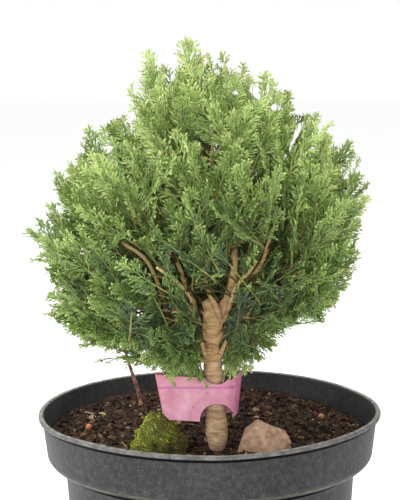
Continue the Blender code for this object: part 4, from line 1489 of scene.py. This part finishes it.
SPRAYS_PER_AREA = 9050.0
DENSER = {"skirt": 1.30, "lower": 1.20}
FROND_TRIES = 5
TWIG_DEPTH = 0.96
WIDER = {"skirt": math.radians(60.0)}
MAX_TILT = math.radians(44.0)
SPACE_OVERLAP = 0.035
OUTER_DEPTHS = (0.90, 1.02)
INNER_LAYERS = ((0.36, 0.64, 0.84, 0.90), (0.74, 0.38, 0.64, 0.64), (0.60, 0.16, 0.38, 0.46))
COARSE_SIZE = 0.7
SPRAY_LENGTH_SHARE = 0.37
SPRAY_LENGTHS = (0.024, 0.037)
UPSWEEP = {"top": 0.0, "upper": 0.30, "middle": 0.42, "lower": 0.22, "skirt": -0.05}
SIDE_SPREAD = 0.50
ROLL_SPREAD = 0.95
FRONT_SHAPE = (
    (-90, 0.92), (-60, 1.00), (-30, 0.90), (-14, 0.71), (-5, 0.64), (1, 0.82), (9, 1.00), (18, 0.97),
    (26, 0.89), (31, 0.99), (40, 0.98), (46, 1.04), (53, 1.02), (65, 1.02), (78, 0.96), (85, 0.98),
    (92, 1.01), (97, 1.04), (104, 1.01), (111, 0.84), (119, 0.96), (126, 0.97), (133, 1.00), (142, 0.92),
    (149, 0.95), (156, 1.00), (166, 0.87), (175, 1.00), (182, 1.05), (194, 1.02), (203, 0.88),
    (225, 0.93), (245, 0.95), (270, 0.92),
)
LEAF_DARKER = 0.82
LEAF_LIGHTER = 1.16
LEAF_LEVELS = (
    ("leaf_shade", (30, 44, 23)),
    ("leaf_deep", (46, 65, 33)),
    ("leaf_dark", (68, 90, 44)),
    ("leaf_middle", (92, 116, 53)),
    ("leaf_fresh", (115, 138, 66)),
    ("leaf_light", (140, 162, 85)),
    ("leaf_pale", (159, 177, 105)),
    ("leaf_yellow", (177, 187, 118)),
    ("leaf_tan", (178, 150, 108)),
)
TAN_LEVEL = 8
TAN_DEPTH = 0.88
TAN_END = 0.88
TAN_SHARE = 0.12
TAN_RISE = 0.50
TONE_SPREAD = 1.38
TONE_BASE = 3.86
# Painted light and shade dealt into the fronds' greens: lighter at the top, on the left and low down,
# darker facing the front and deep inside
TOP_PAINTED_LIGHT = 1.55
LEFT_PAINTED_LIGHT = 0.15
FRONT_PAINTED_SHADE = 2.65
LOW_PAINTED_LIGHT = 5.5
TONE_LOW_SHARE = 0.32
TONE_CHANCE = 0.50
INSIDE_PAINTED_SHADE = 4.6
TONE_INSIDE_DEPTH = 0.93
FEWEST_LEAVES = 0.35
PIECE_LIMIT = 190000
TWIG_POINTS = 8
TWIG_SIDES = 3
TWIG_ROOT_RADIUS = 0.00058
TWIG_THINNING = 0.00020
TWIG_BROWN_RINGS = 5
TWIG_TONES = (
    ("twig_brown", (74, 74, 40), (104, 98, 54)),
    ("twig_orange", (116, 110, 54), (146, 134, 72)),
    ("twig_yellow", (110, 120, 58), (138, 146, 78)),
    ("twig_green", (94, 118, 58), (122, 144, 78)))
TWIG_LEAVES = 9
TWIG_LEAF_START = 0.30
TWIG_LEAF_TURN = math.radians(40.0)
TWIG_LEAF_LENGTH = 0.0036
TWIG_LEAF_WIDTH = 0.0009
TWIG_LEAF_DARKER = 1.1

# Openings, in pixels of the photograph: what the foliage in front leaves in view, and gaps to the sky
SEEN_MARGIN = 0.5
SEEN_TRUNK_TOP = 0.2180
SEEN_LIMBS = (
    ("top", 6, 27), ("upper_2", 20, 42), ("upper_5", 16, 36), ("skirt_1", 4, 20), ("skirt_5", 4, 20))
SKY_GAPS = (
    ((300, 128), (290, 147), 1.2), ((290, 147), (283, 160), 0.8), ((253, 88), (258, 97), 2.5),
    ((273, 107), (279, 108), 2.0), ((234, 92), (236, 93), 1.5), ((82, 250), (82, 253), 1.5),
    ((138, 311), (139, 314), 2.0), ((276, 276), (280, 284), 2.0),
)


def crown_radius(height):
    """Half-width of the crown at a height."""
    if height >= CROWN_CENTRE.z:
        share = (height - CROWN_CENTRE.z) / (CROWN_TOP - CROWN_CENTRE.z)
        power = CROWN_UPPER_POWER
    else:
        share = (CROWN_CENTRE.z - height) / (CROWN_CENTRE.z - CROWN_BOTTOM)
        power = CROWN_LOWER_POWER
    return CROWN_RADIUS * max(0.0, 1.0 - share ** power) ** (1.0 / power)


def crown_reach(direction):
    """Distance from the fork to the crown's surface in a direction."""
    near = 0.0
    far = CROWN_TOP
    while far - near > 1e-4:
        middle = (near + far) / 2
        point = FORK + direction * middle
        axis_x = CROWN_CENTRE.x + CROWN_LEAN * (point.z - CROWN_CENTRE.z)
        across = math.hypot(point.x - axis_x, point.y - CROWN_CENTRE.y)
        if CROWN_BOTTOM < point.z < CROWN_TOP and across < crown_radius(point.z):
            near = middle
        else:
            far = middle
    return near


def in_share(heading, mass):
    """True where a direction is nearer to its own limb's than to any other's, or only just beyond."""
    return all(heading.dot(mass.direction - other) > -SPACE_OVERLAP for other in mass.others)


def front_shape(heading):
    """How much further or less far the crown reaches along a heading than its round form does."""
    angle = math.degrees(math.atan2(heading.z, heading.x))
    if angle < FRONT_SHAPE[0][0]:
        angle += 360.0
    sideways = 1.0 - heading.y ** 2
    return 1.0 + (between(FRONT_SHAPE, angle) - 1.0) * sideways


def on_picture(points):
    """Where rows of x, y and z show on the photograph, in pixels, and how far away they are."""
    pitch = math.radians(CAMERA_PITCH)
    forward = np.array((0.0, math.cos(pitch), -math.sin(pitch)))
    upward = np.array((0.0, math.sin(pitch), math.cos(pitch)))
    roll = math.radians(CAMERA_ROLL)
    offset = np.asarray(points) - np.array(CAMERA_PLACE)
    distance = offset @ forward
    right = FOCAL_PIXELS * offset[:, 0] / distance
    low = -FOCAL_PIXELS * (offset @ upward) / distance
    across = PICTURE_WIDTH / 2 + right * math.cos(roll) - low * math.sin(roll)
    down = PICTURE_HEIGHT / 2 + low * math.cos(roll) + right * math.sin(roll)
    return np.stack([across, down], axis=1), distance


def find_openings(masses):
    """Round spots on the picture that foliage stays out of: place, radius, and how far away the wood is."""
    spots = []
    reaches = []
    distances = []

    def add_wood(line, radii):
        places, far = on_picture(rows_of(line))
        for place, distance, radius in zip(places, far, radii):
            spots.append(place)
            reaches.append(radius * FOCAL_PIXELS / distance + SEEN_MARGIN)
            distances.append(distance)

    points, radii = trunk_line()
    seen = [i for i, point in enumerate(points) if LABEL_TOP - 0.004 < point.z < SEEN_TRUNK_TOP]
    add_wood([points[i] for i in seen[::3]], [radii[i] for i in seen[::3]])
    add_wood(stub_line(), [STUB_RADIUS] * STUB_RINGS)
    add_wood(outer_branch_line()[OUTER_BRANCH_SEEN:], [OUTER_BRANCH_RADIUS] * OUTER_BRANCH_RINGS)
    by_name = {mass.name: mass for mass in masses}
    for name, first, last in SEEN_LIMBS:
        mass = by_name[name]
        add_wood(mass.line[first:last], limb_radii(mass.tier, len(mass.line))[first:last])
    for start, stop, reach in SKY_GAPS:
        steps = max(2, round(math.dist(start, stop) / 2))
        for step in range(steps):
            share = step / (steps - 1)
            spots.append(np.array(start) * (1.0 - share) + np.array(stop) * share)
            reaches.append(reach)
            distances.append(2.0)
    return np.array(spots), np.array(reaches), np.array(distances)


def in_openings(points, openings):
    """For each point, whether it would cover wood that shows or close a gap to the sky."""
    spots, reaches, distances = openings
    places, far = on_picture(points)
    gap = np.linalg.norm(places[:, None, :] - spots[None, :, :], axis=2)
    return ((gap < reaches) & (far[:, None] < distances)).any(axis=1)


def frond_at(mass, heading, depth, size, draw):
    """A frond whose tip lies at a share of the crown's reach along a heading."""
    tip = FORK + heading * crown_reach(heading) * front_shape(heading) * depth
    upward = UP - heading * heading.z
    sideways = heading.cross(UP)
    if sideways.length < 0.2:
        sideways = heading.orthogonal()
    sideways.normalize()
    along = heading + upward * UPSWEEP[mass.tier.name] + sideways * draw.gauss(0.0, SIDE_SPREAD)
    along += upward * draw.gauss(0.0, 0.18)
    along.normalize()
    length = min(max(mass.reach * SPRAY_LENGTH_SHARE, SPRAY_LENGTHS[0]), SPRAY_LENGTHS[1])
    length *= draw.uniform(0.84, 1.16) * size
    outward = heading - along * heading.dot(along)
    if outward.length < 0.12:
        outward = along.orthogonal()
    turn = Matrix.Rotation(draw.gauss(0.0, ROLL_SPREAD), 3, along)
    rotation = basis(along, turn @ outward.normalized())
    width = draw.uniform(0.80, 1.10)
    scale = Matrix.Diagonal((length, length * width, length, 1.0))
    matrix = Matrix.Translation(tip - along * length) @ rotation.to_4x4() @ scale
    height = (tip.z - CROWN_BOTTOM) / (CROWN_TOP - CROWN_BOTTOM)
    # Painted light: fronds are lighter towards the top of the crown, and more so on its left
    tone = TONE_BASE + (TOP_PAINTED_LIGHT - LEFT_PAINTED_LIGHT * heading.x) * height ** 2
    # Painted shade: fronds that face the front are darker, as under overhanging fronds
    tone -= FRONT_PAINTED_SHADE * max(0.0, -heading.y) ** 3
    # Painted light: the lowest fronds are lighter, as light from below
    tone += LOW_PAINTED_LIGHT * max(0.0, TONE_LOW_SHARE - height)
    # Painted shade: fronds set deeper inside the crown are darker; the rest is random tone
    tone += draw.gauss(0.0, TONE_CHANCE) - INSIDE_PAINTED_SHADE * max(0.0, TONE_INSIDE_DEPTH - depth)
    tan = depth > TAN_DEPTH and draw.random() < TAN_SHARE + TAN_RISE * height
    if size < COARSE_SIZE:
        pattern = FINE.count + draw.randrange(COARSE.count)
    else:
        pattern = draw.randrange(FINE.count)
    return Spray(matrix, draw.uniform(-0.12, 0.22), draw.uniform(-0.6, 1.0), tone, pattern, tan)


def under_surface(points):
    """True where every point lies inside the crown's surface."""
    for point in points:
        offset = point - FORK
        heading = offset.normalized()
        if offset.length > TWIG_DEPTH * crown_reach(heading) * front_shape(heading):
            return False
    return True


def grow_frond(mass, heading, depth, size, draw, patterns, openings):
    """A frond with its twig and its leaves, clear of the openings, or None where no try fits."""
    for _ in range(FROND_TRIES):
        spray = frond_at(mass, heading, depth, size, draw)
        line = connecting_twig(mass, spray)
        if not under_surface(line[3:]) or in_openings(rows_of(line[2:]), openings).any():
            continue
        kept = dressed(patterns[spray.pattern], spray, openings)
        if kept is not None:
            return spray, line, kept
    return None


def mass_fronds(mass, patterns, openings):
    """Every frond of one mass, dealt round its direction by the golden angle, each tilted further out."""
    draw = random.Random(f"{SEED} {mass.name}")
    widest = WIDER.get(mass.tier.name, MAX_TILT)
    area = mass.reach ** 2 * (1.0 - math.cos(widest)) / 0.28
    count = round(SPRAYS_PER_AREA * DENSER.get(mass.tier.name, 1.0) * area) + 8
    fronds = []
    for index in range(count):
        around = index * GOLDEN_ANGLE + draw.uniform(-SPRAY_TURN, SPRAY_TURN)
        tilt = widest * math.sqrt((index + 0.5) / count)
        side = aim(FORK, mass.direction, around).to_3x3().col[1]
        heading = (mass.direction * math.cos(tilt) + side * math.sin(tilt)).normalized()
        if not in_share(heading, mass):
            continue
        places = [(draw.uniform(*OUTER_DEPTHS), 1.0)]
        for share, nearest, furthest, size in INNER_LAYERS:
            if draw.random() < share:
                places.append((draw.uniform(nearest, furthest), size))
        for depth, size in places:
            frond = grow_frond(mass, heading, depth, size, draw, patterns, openings)
            if frond is not None:
                fronds.append(frond)
    return fronds


def bent(points, spray):
    """A pattern's points curled along and across, then put in place."""
    moved = points.copy()
    moved[:, 2] += spray.curl * points[:, 0] ** 2 - spray.cup * points[:, 1] ** 2
    matrix = np.array(spray.matrix)
    return moved @ matrix[:3, :3].T + matrix[:3, 3]


def leaf_levels(pattern, spray):
    """The green of each triangle of a frond: darker at its root, lighter at its tips, a few tips tan."""
    levels = np.clip(np.round(spray.tone + pattern.tones * TONE_SPREAD), 0, TAN_LEVEL - 1).astype(int)
    if spray.tan:
        levels[pattern.ends > TAN_END] = TAN_LEVEL
    return levels


def dressed(pattern, spray, openings):
    """A frond's points, triangles and levels without what closes an opening, or None if too few stay."""
    axis = bent(pattern.axis_points, spray)
    if in_openings(axis[::TWIG_SIDES], openings).any():
        return None
    points = bent(pattern.points, spray)
    centres = points[pattern.triangles].mean(axis=1)
    closed = np.concatenate((
        pattern.point_strips[in_openings(points, openings)],
        pattern.triangle_strips[in_openings(centres, openings)]))
    stays = ~np.isin(pattern.triangle_strips, closed)
    if stays.mean() < FEWEST_LEAVES:
        return None
    triangles = pattern.triangles[stays]
    used, places = np.unique(triangles, return_inverse=True)
    return points[used], places.reshape(triangles.shape), leaf_levels(pattern, spray)[stays]


def connecting_twig(mass, spray):
    """The twig from a mass's stem to the root of a frond, which leaves the stem at about 45 degrees."""
    root = spray.matrix.translation
    along = spray.matrix.col[0].to_3d().normalized()
    ahead = (root - FORK).dot(mass.direction)
    aside = (root - FORK - mass.direction * ahead).length
    stem_last = len(mass.line) - 1
    best = stem_last
    for index in range(BOUGH_RINGS // 2, stem_last):
        if (mass.line[index] - FORK).dot(mass.direction) >= ahead - aside:
            best = index
            break
    start = mass.line[best]
    gap = (root - start).length
    first = start + (root - start) * 0.25 + mass.direction * gap * 0.12
    second = root - along * gap * 0.14
    return bezier(start, first, second, root + along * 0.0005, TWIG_POINTS)


def twig_leaves(line, spray, openings):
    """Short branchlets along the outer part of a frond's twig, as points, triangles and levels."""
    frame_axes = np.array(spray.matrix)[:3, :3]
    across = frame_axes[:, 1] / np.linalg.norm(frame_axes[:, 1])
    normal = frame_axes[:, 2] / np.linalg.norm(frame_axes[:, 2])
    course = rows_of(line)
    points = []
    for index in range(TWIG_LEAVES):
        place = (TWIG_LEAF_START + (1.0 - TWIG_LEAF_START) * index / TWIG_LEAVES) * (len(course) - 1)
        here = int(place)
        along = course[here + 1] - course[here]
        foot = course[here] + along * (place - here)
        along = along / np.linalg.norm(along)
        hand = 1.0 if index % 2 else -1.0
        heading = along * math.cos(TWIG_LEAF_TURN) + across * hand * math.sin(TWIG_LEAF_TURN)
        side = np.cross(normal, heading) * TWIG_LEAF_WIDTH / 2
        length = TWIG_LEAF_LENGTH * (0.75 + 0.5 * ((index * 7 + spray.pattern) % 5) / 4)
        middle = foot + heading * length * LEAFLET_WIDEST
        ridge = middle + normal * RIDGE * TWIG_LEAF_WIDTH
        points += [foot, middle - side, ridge, middle + side, foot + heading * length]
    points = np.array(points)
    closed = in_openings(points, openings).reshape(-1, 5).any(axis=1)
    starts = 5 * np.arange(TWIG_LEAVES)[~closed]
    triangles = (starts[:, None, None] + np.array(KITE_TRIANGLES)).reshape(-1, 3)
    tones = np.tile((0.0, 0.0, 0.4, 0.4), len(starts)) + np.repeat((starts // 5) % 3 * 0.3, 4)
    levels = np.round(spray.tone - TWIG_LEAF_DARKER + tones * TONE_SPREAD)
    levels = np.clip(levels, 0, TAN_LEVEL - 1).astype(int)
    return points, triangles, levels


def twig_level(share):
    """A frond's axis is orange where it leaves the twig and green at its tip."""
    return np.where(share < 0.16, 1, np.where(share < 0.50, 2, 3))


def build_foliage(masses):
    """The leaves of every mass, joined into a few large pieces, and the twigs in one."""
    draw = random.Random(f"{SEED} patterns")
    patterns = [make_pattern(draw, kind) for kind in (FINE, COARSE) for _ in range(kind.count)]
    openings = find_openings(masses)
    leaf_pieces = [Heap()]
    twigs = Heap()
    radii = [TWIG_ROOT_RADIUS - TWIG_THINNING * i / (TWIG_POINTS - 1) for i in range(TWIG_POINTS)]
    for mass in masses:
        leaves = Heap()
        for spray, line, kept in mass_fronds(mass, patterns, openings):
            pattern = patterns[spray.pattern]
            leaves.add(*kept)
            leaves.add(*twig_leaves(line, spray, openings))
            axis = bent(pattern.axis_points, spray)
            twigs.add(axis, pattern.axis_triangles, twig_level(pattern.axis_tones))
            verts, faces = sweep(line, radii, TWIG_SIDES)
            triangles = np.array(split_faces(faces))
            twigs.add(verts, triangles, np.where(triangles[:, 0] > TWIG_BROWN_RINGS * TWIG_SIDES, 1, 0))
        if leaf_pieces[-1].size() + leaves.size() > PIECE_LIMIT:
            leaf_pieces.append(Heap())
        leaf_pieces[-1].join(leaves)
        leaf_pieces[-1].nodes.append("foliage_" + mass.name)
    levels = [leaf_material(name, linear(*colour)) for name, colour in LEAF_LEVELS]
    for index, leaves in enumerate(leaf_pieces):
        finish_piece(leaves.build(f"leaves_{index + 1}"), "foliage", leaves.nodes, *levels)
    finish_piece(twigs.build("twigs"), "foliage", [], *tone_set(TWIG_TONES, 0.002, 0.8, 0.0002, 0.0008))


# Stage, light and camera


FLOOR_RADIUS = 8.0


def build_stage():
    """A pale floor under a white sky."""
    shape = bmesh.new()
    bmesh.ops.create_circle(shape, cap_ends=True, segments=96, radius=FLOOR_RADIUS)
    floor = add_shape("floor", shape)
    material, shader = shader_of("pale_floor", 0.9)
    shader.inputs["Base Color"].default_value = grey(0.97)
    floor.data.materials.append(material)
    world = bpy.data.worlds.new("white_sky")
    world.use_nodes = True
    background = world.node_tree.nodes["Background"]
    background.inputs["Color"].default_value = grey(1.0)
    background.inputs["Strength"].default_value = 1.0
    bpy.context.scene.world = world


def add_area(name, place, target, size, power):
    """A soft square light that faces a target."""
    light = bpy.data.lights.new(name, "AREA")
    light.size = size
    light.energy = power
    lamp = place_new(name, light)
    lamp.location = place
    lamp.rotation_mode = "QUATERNION"
    lamp.rotation_quaternion = (target - place).to_track_quat("-Z", "Y")


def build_lights():
    """Soft light from the upper left, the front, above and low on the left."""
    target = CROWN_CENTRE.copy()
    add_area("key", Vector((-1.0, -0.75, 1.3)), target, 0.7, 22.0)
    add_area("fill", Vector((-0.1, -1.5, 0.5)), target, 0.6, 10.0)
    add_area("top", Vector((-0.1, 0.5, 1.5)), target, 0.9, 12.0)
    add_area("side", Vector((-1.0, 0.25, 0.10)), UP * 0.12, 0.5, 1.5)


def build_camera():
    """The photograph's view, from the height of the crown's top, looking slightly down."""
    data = bpy.data.cameras.new("camera")
    data.sensor_width = SENSOR
    data.lens = FOCAL_PIXELS * SENSOR / PICTURE_HEIGHT
    data.clip_start = 0.01
    data.clip_end = 50.0
    camera = place_new("camera", data)
    camera.location = CAMERA_PLACE
    tilt = Matrix.Rotation(math.radians(90.0 - CAMERA_PITCH), 3, "X")
    roll = Matrix.Rotation(math.radians(CAMERA_ROLL), 3, "Z")
    camera.rotation_euler = (tilt @ roll).to_euler()
    bpy.context.scene.camera = camera


def make_masses():
    """Each limb's mass, with its line and how far it reaches."""
    limbs = limb_directions()
    masses = []
    for name, tier, azimuth, direction in limbs:
        others = [other for _, _, _, other in limbs if other is not direction]
        reach = crown_reach(direction)
        line = limb_line(name, tier, azimuth, direction, reach)
        masses.append(Mass(name, tier, direction, others, line, reach))
    return masses


def main():
    """Dress the whole plant and its pot, then light it."""
    bpy.context.scene.view_settings.view_transform = "Standard"
    build_pot()
    build_soil()
    build_chips()
    build_prills()
    build_stone()
    build_moss()
    build_dead_stem()
    build_label()
    masses = make_masses()
    build_bark(masses)
    build_foliage(masses)
    build_stage()
    build_lights()
    build_camera()


main()
